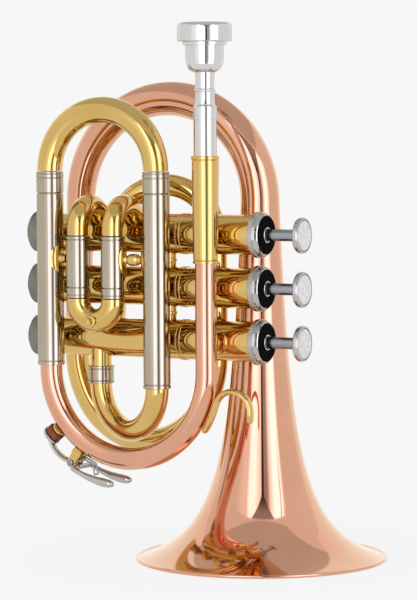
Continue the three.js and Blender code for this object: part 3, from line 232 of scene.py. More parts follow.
def swept(route, outline, sides=64, closed=True, width=1.0, ripple=None, saddle=None):
    """A turned skin along a route: points, faces and each point's place on the straightened tube."""
    rings = []
    last = len(outline) if closed else len(outline) - 1
    for i, (distance, radius) in enumerate(outline):
        rings.append((distance, radius))
        if i >= last:
            continue
        next_distance, next_radius = outline[(i + 1) % len(outline)]
        for place in route.rings_between(distance, next_distance):
            share = (place - distance) / (next_distance - distance)
            rings.append((place, radius + share * (next_radius - radius)))
    points, places, firsts = [], [], []
    for distance, radius in rings:
        count = 1 if radius == 0 else sides
        firsts.append((len(points), count))
        for k in range(count):
            angle = 2 * pi * k / sides
            run = saddle.trim(distance, angle, radius) if saddle else distance
            r = radius + (ripple(distance, angle) if ripple and radius else 0)
            points.append(there(route.point_at(run, angle, r, width)))
            places.append((radius * cos(angle) * mm, radius * sin(angle) * mm, run * mm))
    count = len(rings) if closed else len(rings) - 1
    faces = [face for i in range(count) for face in band(firsts[i], firsts[(i + 1) % len(rings)], sides)]
    return points, faces, places


def quarter_round(start, end, steps, across_first):
    """The points of an outline on a quarter of an oval, which starts across the tube or along it."""
    for k in range(1, steps + 1):
        angle = pi / 2 * k / steps
        shares = (1 - cos(angle), sin(angle))
        along, across = shares if across_first else shares[::-1]
        yield start[0] + along * (end[0] - start[0]), start[1] + across * (end[1] - start[1])


def band(here, ahead, sides):
    """The faces between two rings, where a ring may be a single point."""
    (a, na), (b, nb) = here, ahead
    for k in range(sides):
        corners = [a + k % na, a + (k + 1) % na, b + (k + 1) % nb, b + k % nb]
        face = [c for j, c in enumerate(corners) if c not in corners[:j]]
        if len(face) > 2:
            yield face


def tube(route, radius, end_radius=None, wall=tube_wall, rings=(), sides=64, ease=0.15, saddle=None):
    """A hollow tube with an even taper. Each ring is (from, to, rise) along the route."""
    end = route.length
    end_radius = radius if end_radius is None else end_radius
    radius_at = lambda place: radius + place / end * (end_radius - radius)
    outline = [(0, radius_at(0))]
    for low, high, rise in rings:
        if low > 0:
            outline.append((low, radius_at(low)))
        else:
            outline.pop()
        outline += [(low, radius_at(low) + rise), (high, radius_at(high) + rise)]
        if high < end:
            outline.append((high, radius_at(high)))
    if not any(high >= end for _, high, _ in rings):
        outline.append((end, radius_at(end)))
    outline += [(end, radius_at(end) - wall), (0, radius_at(0) - wall)]
    return swept(route, eased(outline, ease, closed=True), sides, saddle=saddle)


def turned(start, heading, outline, sides=48, closed=False, ease=0.12, ripple=None):
    """A solid of revolution on a straight line. An open outline is closed on the centre line."""
    heading = Vector(heading).normalized()
    side = Z if abs(heading.x) > 0.7 else X
    side = side - heading * heading.dot(side)
    route = Route(start, heading, side).straight(1.0)
    if closed:
        return swept(route, eased(outline, ease, closed=True), sides, True, ripple=ripple)
    shape = eased([(outline[0][0], 0), *outline, (outline[-1][0], 0)], ease)
    return swept(route, shape, sides, False, ripple=ripple)


def upright(x, y, foot, outline, sides=64, ease=0.08):
    """A hollow piece, turned about a line that stands upright."""
    return turned((x, y, foot), Z, outline, sides, closed=True, ease=ease)


def groove(place, radius, depth=0.35, width=0.55):
    """The turned line beside a ring."""
    near, far = place - width / 2, place + width / 2
    return [(near, radius), (near + 0.1, radius - depth), (far - 0.1, radius - depth), (far, radius)]


def bar(start, end, radius, sides=32, ease=0.12):
    start, end = Vector(start), Vector(end)
    length = (end - start).length
    return turned(start, end - start, [(0, radius), (length, radius)], sides, ease=ease)


class Value:
    """A number from a node. Sums and products on it add Math nodes."""

    def __init__(self, shop, socket):
        self.shop, self.socket = shop, socket

    def math(self, operation, *others):
        return self.shop.node("ShaderNodeMath", {"operation": operation}, dict(enumerate((self, *others))))

    def __add__(self, other):
        return self.math("ADD", other)

    __radd__ = __add__

    def __sub__(self, other):
        return self.math("SUBTRACT", other)

    def __rsub__(self, other):
        return self.math("MULTIPLY", -1.0) + other

    def __mul__(self, other):
        return self.math("MULTIPLY", other)

    __rmul__ = __mul__

    def rise(self, start, end):
        """0 at the start and 1 at the end, with a soft step between."""
        return self.shop.node(
            "ShaderNodeMapRange",
            {"interpolation_type": "SMOOTHSTEP"},
            {"Value": self, "From Min": start, "From Max": end},
        )


class Shop:
    """Where one material's nodes are made."""

    def __init__(self, name):
        self.material = bpy.data.materials.new(name)
        self.material.use_nodes = True
        self.tree = self.material.node_tree
        self.tree.nodes.clear()

    def node(self, kind, settings=None, sockets=None, give=0):
        made = self.tree.nodes.new(kind)
        for key, value in (settings or {}).items():
            setattr(made, key, value)
        for key, value in (sockets or {}).items():
            target = made.inputs[key]
            if isinstance(value, Value):
                self.tree.links.new(value.socket, target)
            elif target.type == "RGBA":
                target.default_value = (*value, 1)
            else:
                target.default_value = value
        return Value(self, made.outputs[give]) if len(made.outputs) else made

    def object_place(self):
        return self.node("ShaderNodeTexCoord", give=3)

    def kept(self, name):
        """A vector that the mesh keeps at each point, such as its place on the straightened tube."""
        return self.node("ShaderNodeAttribute", {"attribute_name": name}, give=1)

    def noise(self, scale, detail=2.0, stretch=(1, 1, 1), where=None):
        place = self.node("ShaderNodeMapping", {}, {"Vector": where or self.object_place(), "Scale": stretch})
        return self.node("ShaderNodeTexNoise", {}, {"Vector": place, "Scale": scale, "Detail": detail})

    def mix(self, factor, one, other):
        return self.node("ShaderNodeMix", {"data_type": "RGBA"}, {0: factor, 6: one, 7: other}, give=2)

    def bump(self, height, strength, distance):
        return self.node("ShaderNodeBump", {}, {"Strength": strength, "Distance": distance, "Height": height})

    def finish(self, **sockets):
        named = {label.replace("_", " "): value for label, value in sockets.items()}
        shader = self.node("ShaderNodeBsdfPrincipled", {}, named)
        self.node("ShaderNodeOutputMaterial", {}, {"Surface": shader})
        return self.material


def polished_metal(name, color, deep, edge, roughness, coat=0.0, haze=0.03, buff=0.05):
    """Polished metal: faint haze, buffing lines round the tube, and a tone that deepens in patches."""
    shop = Shop(name)
    cloud = shop.noise(45, 3)
    lines = shop.noise(60, 2, stretch=(1, 1, 40), where=shop.kept("tube_place"))
    grain = shop.noise(900, 2)
    return shop.finish(
        Base_Color=shop.mix(cloud.rise(0.25, 0.75), color, deep),
        Metallic=1.0,
        Roughness=roughness + haze * cloud * lines,
        Specular_Tint=edge,
        Normal=shop.bump(0.7 * lines + 0.3 * grain, buff, 0.00004),
        Coat_Weight=coat,
        Coat_Roughness=0.04,
        Coat_IOR=1.5,
    )


def stem_steel():
    shop = Shop("satin_stem_steel")
    lines = shop.noise(90, 3, stretch=(1, 1, 60), where=shop.kept("tube_place"))
    return shop.finish(
        Base_Color=shop.mix(lines, (0.27, 0.285, 0.305), (0.34, 0.355, 0.375)),
        Metallic=1.0,
        Roughness=0.14 + 0.08 * lines,
        Normal=shop.bump(lines, 0.15, 0.00003),
    )


def pearl_disc():
    shop = Shop("button_pearl")
    flakes = shop.noise(420, 4)
    cloud = shop.noise(150, 3)
    tone = shop.mix(flakes.rise(0.36, 0.64), (0.50, 0.50, 0.47), (0.68, 0.68, 0.645))
    return shop.finish(
        Base_Color=shop.mix(cloud.rise(0.35, 0.75), tone, (0.60, 0.575, 0.53)),
        Roughness=0.24 + 0.14 * flakes,
        Normal=shop.bump(cloud, 0.12, 0.0002),
        Coat_Weight=0.4,
        Coat_Roughness=0.08,
    )


def black_felt():
    shop = Shop("black_felt")
    nap = shop.noise(2600, 3)
    clump = shop.noise(700, 2)
    return shop.finish(
        Base_Color=shop.mix(nap.rise(0.3, 0.7), (0.0012, 0.0012, 0.0015), (0.005, 0.005, 0.006)),
        Roughness=0.9 + 0.1 * nap,
        Specular_IOR_Level=0.05,
        Normal=shop.bump(nap + clump, 0.8, 0.0003),
    )


def cork_bark():
    shop = Shop("pad_cork")
    grain = shop.noise(900, 4)
    pores = shop.noise(1800, 2)
    tone = shop.mix(grain.rise(0.3, 0.7), (0.16, 0.04, 0.018), (0.30, 0.09, 0.04))
    return shop.finish(
        Base_Color=shop.mix(pores.rise(0.57, 0.67), tone, (0.05, 0.015, 0.008)),
        Roughness=0.75 + 0.15 * grain,
        Specular_IOR_Level=0.3,
        Normal=shop.bump(grain - pores, 0.7, 0.0004),
    )


finishes = {
    "rose_brass": polished_metal(
        "rose_brass_lacquered", (0.73, 0.372, 0.238), (0.702, 0.346, 0.214), (1.0, 1.0, 0.84), 0.06, 0.6
    ),
    "yellow_brass": polished_metal(
        "yellow_brass_lacquered", (0.685, 0.462, 0.142), (0.65, 0.424, 0.114), (0.95, 0.9, 0.8), 0.06, 0.6
    ),
    "nickel": polished_metal(
        "nickel_silver_polished", (0.475, 0.42, 0.325), (0.44, 0.385, 0.29), (0.7, 0.68, 0.62), 0.07
    ),
    "silver_plate": polished_metal(
        "silver_plate", (0.69, 0.685, 0.665), (0.66, 0.655, 0.635), (0.75, 0.75, 0.75), 0.04, buff=0.02
    ),
    "spring_steel": stem_steel(),
    "pearl": pearl_disc(),
    "black_felt": black_felt(),
    "cork": cork_bark(),
}
stem_metal = finishes["spring_steel"]
cap_nickel = polished_metal(
    "nickel_plated_caps", (0.53, 0.515, 0.48), (0.46, 0.445, 0.41), (0.7, 0.7, 0.68), 0.07
)
# Nickel for the caps under the valves. It is rougher than the top caps, and its base colour is darkened to
# about half of theirs as painted shade, for caps that sit under the casings.
dull_nickel_painted_shade = polished_metal(
    "lower_nickel_caps_painted_shade", (0.27, 0.255, 0.22), (0.19, 0.18, 0.15), (0.4, 0.4, 0.38), 0.22, 0, 0.12, 0.15
)

weld_reach = 2e-7
sharp_edge = radians(50)


def mesh_object(name, points, faces, material, **kept):
    """An object in the scene. Each list that is kept goes with the points, as an attribute."""
    mesh = bpy.data.meshes.new(name)
    mesh.from_pydata([tuple(p) for p in points], [], faces)
    for label, places in kept.items():
        layer = mesh.attributes.new(label, "FLOAT_VECTOR", "POINT")
        layer.data.foreach_set("vector", np.array(places, np.float32).ravel())
    mesh.materials.append(material)
    made = bpy.data.objects.new(name, mesh)
    bpy.context.scene.collection.objects.link(made)
    return made


def piece(name, skins, *nodes, body="horn", slot="yellow_brass", finish=None):
    """One finished piece from one or more closed skins. It stands for the named CAD nodes."""
    points, faces, places = [], [], []
    for skin_points, skin_faces, skin_places in skins:
        first = len(points)
        points += skin_points
        places += skin_places
        faces += [[first + c for c in face] for face in skin_faces]
    made = mesh_object(name, points, faces, finish or finishes[slot], tube_place=places)
    clean(made.data)
    made.data.shade_smooth()
    made.data.set_sharp_from_angle(angle=sharp_edge)
    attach(made, body)
    if nodes:
        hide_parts(*nodes)
    return made


def clean(mesh):
    """Welds the corners that fall together at a saddle cut and turns every face outwards."""
    shape = bmesh.new()
    shape.from_mesh(mesh)
    bmesh.ops.remove_doubles(shape, verts=shape.verts, dist=weld_reach)
    bmesh.ops.recalc_face_normals(shape, faces=shape.faces)
    shape.to_mesh(mesh)
    shape.free()


# Bell
def bell_radius(height):
    rim = bell_rim_radius - bell_bead_radius
    return rim * (1 + (height - bell_bead_radius) / bell_flare_depth) ** -bell_flare_power


bell_route = Route((0, 0, 0), Z, X).straight(bell_stem_height)
bell_route.bend(-X, bell_arch_radius, pi - bell_leg_splay).straight(bell_leg_length)
tail_point, tail_heading, tail_side = bell_route.end


def bell_skin():
    outer, inner, bead = [], [], []
    rings, bead_rings = 90, 16
    for i in range(1, rings + 1):
        height = bell_flare_start + (i / rings) ** 2.0 * (bell_stem_height - bell_flare_start)
        radius = bell_radius(height)
        slope = -bell_flare_power * radius / (bell_flare_depth + height - bell_bead_radius)
        skew = hypot(1, slope)
        outer.append((height, radius))
        inner.append((height + tube_wall * slope / skew, radius - tube_wall / skew))
    for k in range(bead_rings + 1):
        angle = -0.95 * pi + 1.67 * pi * k / bead_rings
        radius = bell_rim_radius - bell_bead_radius + bell_bead_radius * cos(angle)
        bead.append((bell_bead_radius * (1 + sin(angle)), radius))
    tail = [(bell_route.length, bell_tail_radius), (bell_route.length, bell_tail_radius - tube_wall)]
    return swept(bell_route, [*bead, *outer, *tail, *reversed(inner)], sides=128)


def tail_ferrule_skin():
    length, ring = 5.4, 0.9
    route = Route(tail_point - tail_heading * (length / 2), tail_heading, tail_side).straight(length)
    rings = [(0, ring, 0.35), (length - ring, length, 0.35)]
    return tube(route, bell_tail_radius + 1, wall=0.7, rings=rings, ease=0.1)


piece("bell_of_rose_brass", [bell_skin()], "bell", slot="rose_brass")
piece("bell_tail_ferrule", [tail_ferrule_skin()], "bell_joint_ferrule", slot="nickel")

# Bottom bow and inner top arch
bow_radius = 6.0
bow_right = Vector((-21.5, -6, 0))
bow_joint = 131.0
arch_left = Vector((-69.0, -20.6, 0))
arch_end_radius = 5.0
arch_height = 158


def bow_skin():
    route = Route(tail_point + tail_heading * seat_gap, tail_heading, tail_side)
    route.straight(2.7).bend(X, 40, bell_leg_splay)
    left = route.end[0]
    across = bow_right - Vector((left.x, left.y, 0))
    # Two wide shoulders and a tighter middle give the bow its width and its depth
    span, depth, shoulder = across.length, 44.4, pi / 6
    shoulder_share, middle_share = 2 * (1 - cos(shoulder)), 2 * cos(shoulder)
    rise = sin(shoulder)
    determinant = shoulder_share * (1 - rise) - middle_share * rise
    wide = (span * (1 - rise) - middle_share * depth) / determinant
    tight = (shoulder_share * depth - rise * span) / determinant
    route.bend(across, wide, shoulder).bend(across, tight, pi - 2 * shoulder).bend(Z, wide, shoulder)
    return tube(route.straight(bow_joint - left.z), bow_radius)


def arch_skin():
    across = arch_left - bow_right
    foot = bow_joint + seat_gap
    route = Route(bow_right + Z * foot, Z, across).straight(arch_height - foot)
    route.bend(across, across.length / 2, pi)
    return tube(route, bow_radius, end_radius=arch_end_radius, saddle=Saddle(route, 40, first_valve))


piece("bottom_bow", [bow_skin()], "tail_bow")
piece("inner_top_arch", [arch_skin()], "tail_arch")


# Leadpipe, receiver and mouthpiece
def on_crook(reach, angle, y=loop_y):
    return Vector((crook_x + reach * cos(angle), y, crook_height + reach * sin(angle)))


def out_from_crook(angle):
    return Vector((cos(angle), 0, sin(angle)))


def along_crook(angle):
    return Vector((-sin(angle), 0, cos(angle)))


nipple_angle = -2.478
pivot_angle = -2.147


def leadpipe_skin():
    route = Route((leadpipe_x, loop_y, leadpipe_top), -Z, X).straight(leadpipe_top - crook_height)
    route.bend(-X, crook_radius, pi).straight(6)
    return tube(route, leadpipe_radius, end_radius=leadpipe_end_radius)


def nipple_skin():
    outline = [(0, 4.0), (0.5, 3.7), (1.3, 3.4), (2.5, 3.35), (2.5, 1.5), (1.4, 1.5)]
    return turned(on_crook(crook_outer - 0.9, nipple_angle), out_from_crook(nipple_angle), outline, ease=0.1)


def receiver_skin():
    length = 50.9
    outline = [(0, 5.9), (0.2, 6.1), (1.2, 6.1), *groove(1.7, 5.9), *groove(length - 2.0, 6.48)]
    outline += [(length - 1.6, 6.7), (length - 0.2, 6.7), (length, 6.5)]
    outline += [(length, 5.8), (25.5, 5.2), (19.3, 5.2), (19.3, 5.3), (0, 5.3)]
    return upright(leadpipe_x, loop_y, 146.5, outline, ease=0.1)


piece("leadpipe_of_rose_brass", [leadpipe_skin()], "leadpipe", slot="rose_brass")
piece("drain_nipple", [nipple_skin()])
piece("mouthpiece_receiver_sleeve", [receiver_skin()], "mouthpiece_receiver")


def mouthpiece_skin():
    tip = 174.4
    heights = [(tip, 4.9), (197.4, 5.45), (214.3, 5.5), (214.5, 5.7), (220.7, 5.7), (220.9, 5.3)]
    heights += [(221.6, 4.9), (223.5, 4.6), (227.5, 4.6), (227.9, 5.0), (228.3, 5.15), (228.7, 5.0)]
    heights += [(229.1, 4.6), (233.5, 4.6), (236.7, 4.8)]
    heights += quarter_round((236.9, 4.8), (243.7, 9.2), 16, True)
    heights += [(249.3, 9.2), (249.4, 10.3), (250.9, 10.5), (251.1, 12.6), (251.5, 13.0), (258.0, 13.0)]
    heights += quarter_round((258.0, 13.0), (260.2, 10.8), 10, False)
    heights += quarter_round((260.2, 10.8), (259.0, 8.6), 7, True)
    heights += quarter_round((259.0, 8.6), (246.0, 1.9), 14, False)
    outline = [(height - tip, radius) for height, radius in [*heights, (238, 1.9), (tip, 4.1)]]
    return upright(leadpipe_x, loop_y, tip, outline, 96, ease=0.12)


piece("mouthpiece_silver", [mouthpiece_skin()], "mouthpiece", body="mouthpiece", slot="silver_plate")


# Main tuning slide
def sleeve_skin(x, bottom):
    end, r = sleeve_top - bottom, sleeve_radius
    outline = [(0, r - 0.1), (0.2, r + 0.15), (1.5, r + 0.15), *groove(2.0, r), (end - 0.3, r)]
    outline += [(end, r - 0.25), (end, r - tube_wall), (0, r - tube_wall)]
    return upright(x, loop_y, bottom, outline)


def tuning_leg_skin(x):
    step, top = 72.0, 82.4
    outline = [(0, 5.6), (step, 5.6), (step, 6.2), (step + 0.35, 6.55), *groove(top - 3.1, 6.6)]
    outline += [(top - 2.7, 6.7), (top - 1.5, 6.7), *groove(top - 1.1, 6.65), (top - 0.2, 6.65), (top, 6.4)]
    outline += [(top, 5.0), (0, 5.0)]
    return upright(x, loop_y, sleeve_top + seat_gap - step, outline, ease=0.1)


def tuning_crook_skin():
    route = Route((left_sleeve_x, loop_y, tuning_crook_height), Z, X)
    return tube(route.bend(X, (right_sleeve_x - left_sleeve_x) / 2, pi), 6.2)


main_sleeves = (("left", left_sleeve_x, left_sleeve_bottom), ("right", right_sleeve_x, right_sleeve_bottom))
for side, x, bottom in main_sleeves:
    leg = [tuning_leg_skin(x)]
    piece(f"{side}_outer_sleeve", [sleeve_skin(x, bottom)], f"{side}_slide_sleeve", slot="nickel")
    piece(f"{side}_tuning_leg", leg, f"tuning_leg_{side}", body="tuning_slide", slot="nickel")
piece("tuning_slide_crook", [tuning_crook_skin()], "tuning_crook", body="tuning_slide")

# Return crook into the third valve
return_end = Vector((-73.65, valve_y - 2.5, 0))
return_across = return_end - Vector((right_sleeve_x, loop_y, 0))
return_ferrule_bottom, return_ferrule_length = 85.85, 8.65
inlet_bottom = return_ferrule_bottom + return_ferrule_length / 2 + seat_gap
inlet_radius = 5.35


def return_crook_skin():
    seat = 2.1
    route = Route((right_sleeve_x, loop_y, right_sleeve_bottom + seat), -Z, return_across).straight(seat)
    route.bend(return_across, return_across.length / 2, pi)
    route.straight(inlet_bottom - seat_gap - right_sleeve_bottom)
    return tube(route, leadpipe_end_radius, end_radius=inlet_radius)


def return_ferrule_skin():
    end, inner = return_ferrule_length, inlet_radius + seat_gap
    outline = [(0, 6.2), (0.2, 6.5), (1.1, 6.5), *groove(1.5, 6.3), *groove(end - 1.5, 6.3), (end - 1.1, 6.5)]
    outline += [(end - 0.2, 6.5), (end, 6.2), (end, inner), (0, inner)]
    return upright(return_end.x, return_end.y, return_ferrule_bottom, outline)


def inlet_skin():
    route = Route(return_end + Z * inlet_bottom, Z, X).straight(third_valve - inlet_bottom)
    return tube(route, inlet_radius, saddle=Saddle(route, 1, third_valve))


piece("return_crook_bow", [return_crook_skin()], "return_crook")
piece("return_crook_ferrule", [return_ferrule_skin()], "return_ferrule", slot="nickel")
piece("third_valve_inlet_tube", [inlet_skin()], "third_valve_inlet")


# Valves
def along_valve(height, outline, sides=64, closed=False, ease=0.12, ripple=None):
    return turned((0, valve_y, height), X, outline, sides, closed, ease, ripple)


def casing_skin(height):
    r = casing_radius
    outline = [(-110, 8.85), (-103.6, 8.85), (-103.6, 9.4), (-38.0, 9.4), (-37.7, r), (-28.7, r)]
    outline += [(-28.5, r + 0.3), (-28.1, r + 0.3), (-27.9, r + 0.03), (-26.8, r + 0.03), (-26.6, r + 0.3)]
    outline += [(-26.2, r + 0.3), (-26.0, r), (10.7, r), (10.7, 9.1), (13.9, 9.1), (13.9, 8.7), (-110, 8.7)]
    return along_valve(height, outline, 96, closed=True, ease=0.1)


def grip_grooves(start, end, depth=0.2, teeth=80):
    """Fine grooves along a cap's edge, for the fingers that unscrew it."""

    def ripple(distance, angle):
        return -depth * (0.5 + 0.5 * cos(angle * teeth)) if start < distance < end else 0

    return ripple


def spread(start, end, radius, steps=5):
    return [(start + (end - start) * k / steps, radius) for k in range(steps + 1)]


def top_cap_skin(height):
    r = casing_radius
    outline = [(11.0, r), (11.0, 10.6), (11.15, 10.9), *spread(11.3, 13.5, 11.0), (13.65, 10.6)]
    outline += [(13.85, 10.55), (14.0, 10.7), (14.9, 10.55), (15.9, 9.95), (16.25, 9.6), (16.25, 9.4)]
    outline += [(15.4, 9.4), (15.4, 3.8), (16.9, 3.8), (17.1, 3.6), (17.1, 3.15), (14.2, 3.15), (14.2, r)]
    return along_valve(height, outline, 240, closed=True, ease=0.05, ripple=grip_grooves(11.35, 13.45))


def bottom_cap_skin(height):
    outline = [(-112.4, 1.6), (-112.4, 3.2), (-112.0, 3.6), (-112.0, 5.8), (-112.4, 6.2), (-112.3, 7.4)]
    outline += [(-111.8, 8.3), (-111.0, 8.85), (-110.8, 9.5), (-110.6, 9.95), (-109.9, 10.15)]
    outline += [*spread(-109.6, -105.0, 10.15), (-104.8, 9.95), (-104.5, 10.1), (-103.9, 10.0), (-103.9, 9.4)]
    outline += [(-110.7, 9.4), (-110.7, 1.6)]
    return along_valve(height, outline, 240, closed=True, ease=0.05, ripple=grip_grooves(-109.55, -105.05))


def felt_skin(height):
    outline = [(15.7, 9.1), (16.6, 9.1), (16.9, 8.8), (16.9, 4.4), (16.7, 4.1), (15.7, 4.1)]
    return along_valve(height, outline, 96, closed=True, ease=0.1)


def stem_skin(height):
    return along_valve(height, [(12.3, 4), (13.6, 4), (13.6, 2.85), (32.2, 2.85)], 48)


def button_skin(height):
    outline = [(32.2, 2.9), (32.6, 3.1), (33.1, 3.5), (33.45, 4.2), (33.6, 5.2), (33.6, 7.9), (33.8, 8.3)]
    outline += [(34.2, 8.5), (35.7, 8.5), (36.2, 8.3), (36.5, 7.9), (36.5, 7.45), (36.1, 7.4), (35.4, 7.4)]
    return along_valve(height, outline, 96, ease=0.08)


def pearl_skin(height):
    outline = [(35.7, 7.1), (36.4, 7.1), (36.6, 6.7), (36.75, 5.4), (36.83, 3.4), (36.85, 1.2)]
    return along_valve(height, outline, 96, ease=0.08)


def slide_port(route, height):
    """A slide's sleeve from its casing to a ringed end."""
    end = route.length
    return tube(route, 5.7, rings=[(end - 4, end, 0.4)], saddle=Saddle(route, end - 1, height))


def second_sleeves():
    for x in (second_left, second_right):
        route = Route((x, valve_y, second_valve), Y, X).straight(second_sleeve_end - valve_y)
        yield slide_port(route, second_valve)


def third_sleeves():
    for x in (third_left, third_right):
        route = Route((x, valve_y, third_valve), Y, X)
        route.straight(third_sleeve_y - valve_y - third_bend_radius).bend(Z, third_bend_radius, pi / 2)
        yield slide_port(route.straight(third_sleeve_top - third_valve - third_bend_radius), third_valve)


for number, height in enumerate(valve_heights, 1):
    sleeves = {2: second_sleeves, 3: third_sleeves}.get(number, list)()
    casing, cap, under = [casing_skin(height), *sleeves], [top_cap_skin(height)], [bottom_cap_skin(height)]
    stem, press = [stem_skin(height)], f"valve_{number}"
    piece(f"casing_{number}", casing, f"valve_casing_{number}")
    piece(f"cap_over_valve_{number}", cap, f"top_cap_{number}", slot="nickel", finish=cap_nickel)
    piece(f"cap_under_valve_{number}", under, f"bottom_cap_{number}", slot="nickel", finish=dull_nickel_painted_shade)
    piece(f"felt_ring_{number}", [felt_skin(height)], f"cap_felt_{number}", slot="black_felt")
    piece(f"stem_{number}", stem, f"finger_button_{number}", body=press, slot="nickel", finish=stem_metal)
    piece(f"button_head_{number}", [button_skin(height)], body=press, slot="nickel", finish=cap_nickel)
    piece(f"pearl_{number}", [pearl_skin(height)], f"button_pearl_{number}", body=press, slot="pearl")


def knuckle_skin(upper, lower):
    middle = (upper - lower) / 2
    route = Route((knuckle_x, valve_y, lower), Z, X).straight(upper - lower)
    rings = [(middle - 0.7, middle + 0.7, 0.4)]
    return tube(route, 5.3, rings=rings, saddle=Saddle(route, middle, upper, lower))


piece("upper_knuckle", [knuckle_skin(first_valve, second_valve)], "knuckle_1_2")
piece("lower_knuckle", [knuckle_skin(second_valve, third_valve)], "knuckle_2_3")

# First valve slide
first_sleeve_top = first_valve - 0.9
first_sleeve_length = 24.65
first_ferrule = 4.9
first_ferrule_bottom = first_sleeve_top - first_sleeve_length - seat_gap - first_ferrule
first_leg_inside = 22


def first_elbow_skin(x):
    start = first_sleeve_top + seat_gap
    route = Route((x, first_slide_y, start), Z, X).straight(first_valve + 2.3 - start)
    route.bend(Y, 11.2, pi)
    return tube(route, first_elbow_radius, saddle=Saddle(route, 12, first_valve))


def first_sleeve_skin(x):
    end, r = first_sleeve_length, first_radius
    outline = [(0, r - 0.2), (0.2, r), *groove(end - 1.7, r), (end - 1.3, r + 0.15), (end - 0.2, r + 0.15)]
    outline += [(end, r - 0.05), (end, r - tube_wall), (0, r - tube_wall)]
    return upright(x, first_slide_y, first_sleeve_top - end, outline)


def first_leg_skin(x):
    step, r = first_ferrule, first_radius
    end, leg = step + seat_gap + first_leg_inside, r - tube_wall - seat_gap
    outline = [(0, r - 0.2), (0.2, r), *groove(1.4, r), (step - 0.2, r), (step, r - 0.2), (step, leg)]
    outline += [(end, leg), (end, leg - tube_wall), (0, leg - tube_wall)]
    return upright(x, first_slide_y, first_ferrule_bottom, outline)


def pull_knob(start, heading):
    """A collar on the bow, and a small button that the fingers pull."""
    collar = [(0, 2.0), (0.4, 1.9), (0.6, 3.0), (1.0, 3.3), (1.5, 3.0)]
    button = [(1.8, 1.6), (2.2, 1.4), (2.6, 2.0), (2.9, 2.15), (3.5, 2.1), (3.9, 1.6), (4.1, 0.7)]
    return turned(start, heading, [*collar, *button], 40, ease=0.08)


def first_bow_skins():
    top, end = first_ferrule_bottom - seat_gap, 1
    half = (first_right - first_left) / 2
    route = Route((first_left, first_slide_y, top), -Z, X).straight(end).bend(X, half, pi).straight(end)
    crown = Vector((first_left + half, first_slide_y - first_bow_radius + 0.3, top - end - half))
    return [tube(route, first_bow_radius), pull_knob(crown, -Y)]


for side, x in (("left", first_left), ("right", first_right)):
    leg = [first_leg_skin(x)]
    piece(f"first_elbow_{side}", [first_elbow_skin(x)], f"first_slide_elbow_{side}")
    piece(f"first_sleeve_{side}", [first_sleeve_skin(x)], f"first_slide_sleeve_{side}", slot="nickel")
    piece(f"first_leg_{side}", leg, f"first_slide_leg_{side}", body="first_slide", slot="nickel")
piece("first_bow", first_bow_skins(), "first_slide_bow", body="first_slide")


# Slides behind the casings
def hidden_slide_skins(sleeve_end, heading, span, inside, rise):
    """A bow on two legs, with so much of each leg inside its sleeve. The knob is on the bow's crown."""
    r, step, half = 4.8, inside + seat_gap, span / 2
    start = Vector(sleeve_end) - heading * inside
    route = Route(start, heading, X).straight(step + rise).bend(X, half, pi).straight(step + rise)
    crown = start + X * half + heading * (step + rise + half + r)
    return [tube(route, r, rings=[(step, route.length - step, 0.3)], ease=0.12), pull_knob(crown, heading)]


second_end, second_span = (second_left, second_sleeve_end, second_valve), second_right - second_left
third_end, third_span = (third_left, third_sleeve_y, third_sleeve_top), third_right - third_left
second_skins = hidden_slide_skins(second_end, Y, second_span, 15, 6.7)
third_skins = hidden_slide_skins(third_end, Z, third_span, 24, 4)
piece("second_slide_bow", second_skins, "second_slide", body="second_slide")
piece("third_slide_bow", third_skins, "third_slide", body="third_slide")

# Braces
brace_height = 147.6
left_foot, slide_foot, right_foot, casing_foot = (6.2, 7.2), (4.3, 7.4), (6.0, 6.0), (6.4, 6.4)


def foot_skin(centre, along, heading, tube_radius, foot_size, wall=0.85):
    """An oval plate that is rolled onto the tube it is soldered to, so far across and so far along it."""
    across, tall = foot_size
    inner, outer = tube_radius + 0.05, tube_radius + 0.05 + wall
    tangent = Vector(along).cross(heading)
    sides, rings = 64, 8
    profile = [(k / rings, outer) for k in range(rings)]
    profile += [(1, outer - 0.25 * wall), (1, inner), (0.5, inner), (0, inner)]
    points, places, firsts = [], [], []
    for share, r in profile:
        count = 1 if share == 0 else sides
        firsts.append((len(points), count))
        for k in range(count):
            angle = 2 * pi * k / sides
            aside, height = share * across * cos(angle), share * tall * sin(angle)
            turn = asin(min(1, aside / outer))
            place = centre + heading * (r * cos(turn)) + tangent * (r * sin(turn)) + along * height
            points.append(there(place))
            places.append((aside * mm, height * mm, 0))
    faces = [face for i in range(len(profile) - 1) for face in band(firsts[i], firsts[i + 1], sides)]
    return points, faces, places


def brace_rod(start, end, beaded):
    """A rod that widens to its feet. The turned bead is in its middle."""
    length = (end - start).length
    half = [(0, 2.9), (0.5, 2.2), (1.2, 2.0)]
    if beaded:
        half += [(length / 2 - 3.0, 2.0), (length / 2 - 2.2, 2.7), (length / 2 - 1.2, 2.9)]
    outline = half + [(length - place, radius) for place, radius in reversed(half)]
    return turned(start, end - start, outline, 40, ease=0.15)


def brace_skins(sleeve_x, slide_x, on_both):
    """A rod between the sleeves of two slides, with an oval foot on the first or on both."""
    sleeve = Vector((sleeve_x, loop_y, brace_height))
    slide = Vector((slide_x, first_slide_y, brace_height))
    heading = (slide - sleeve).normalized()
    skins = [foot_skin(sleeve, Z, heading, sleeve_radius, right_foot if on_both else left_foot)]
    start = sleeve + heading * (sleeve_radius + 0.6)
    end = slide - heading * (first_radius + (0.5 if on_both else 0.35))
    skins.append(brace_rod(start, end, on_both))
    if on_both:
        skins.append(foot_skin(slide, Z, -heading, first_radius, slide_foot))
    return skins


piece("left_brace", brace_skins(left_sleeve_x, first_left, False), "brace_left")
piece("right_brace", brace_skins(right_sleeve_x, first_right, True), "brace_right")


def bell_post_skin():
    start, end = valve_y + casing_radius + 0.05, -bell_radius(second_valve)
    length = end - start
    outline = [(0, 4.2), (1.2, 4.1), (1.7, 2.6), (length / 2, 2.2), (length - 1.7, 2.6), (length - 1.2, 4.1)]
    return turned((0, start, second_valve), Y, [*outline, (length, 4.2)], 48, ease=0.2)


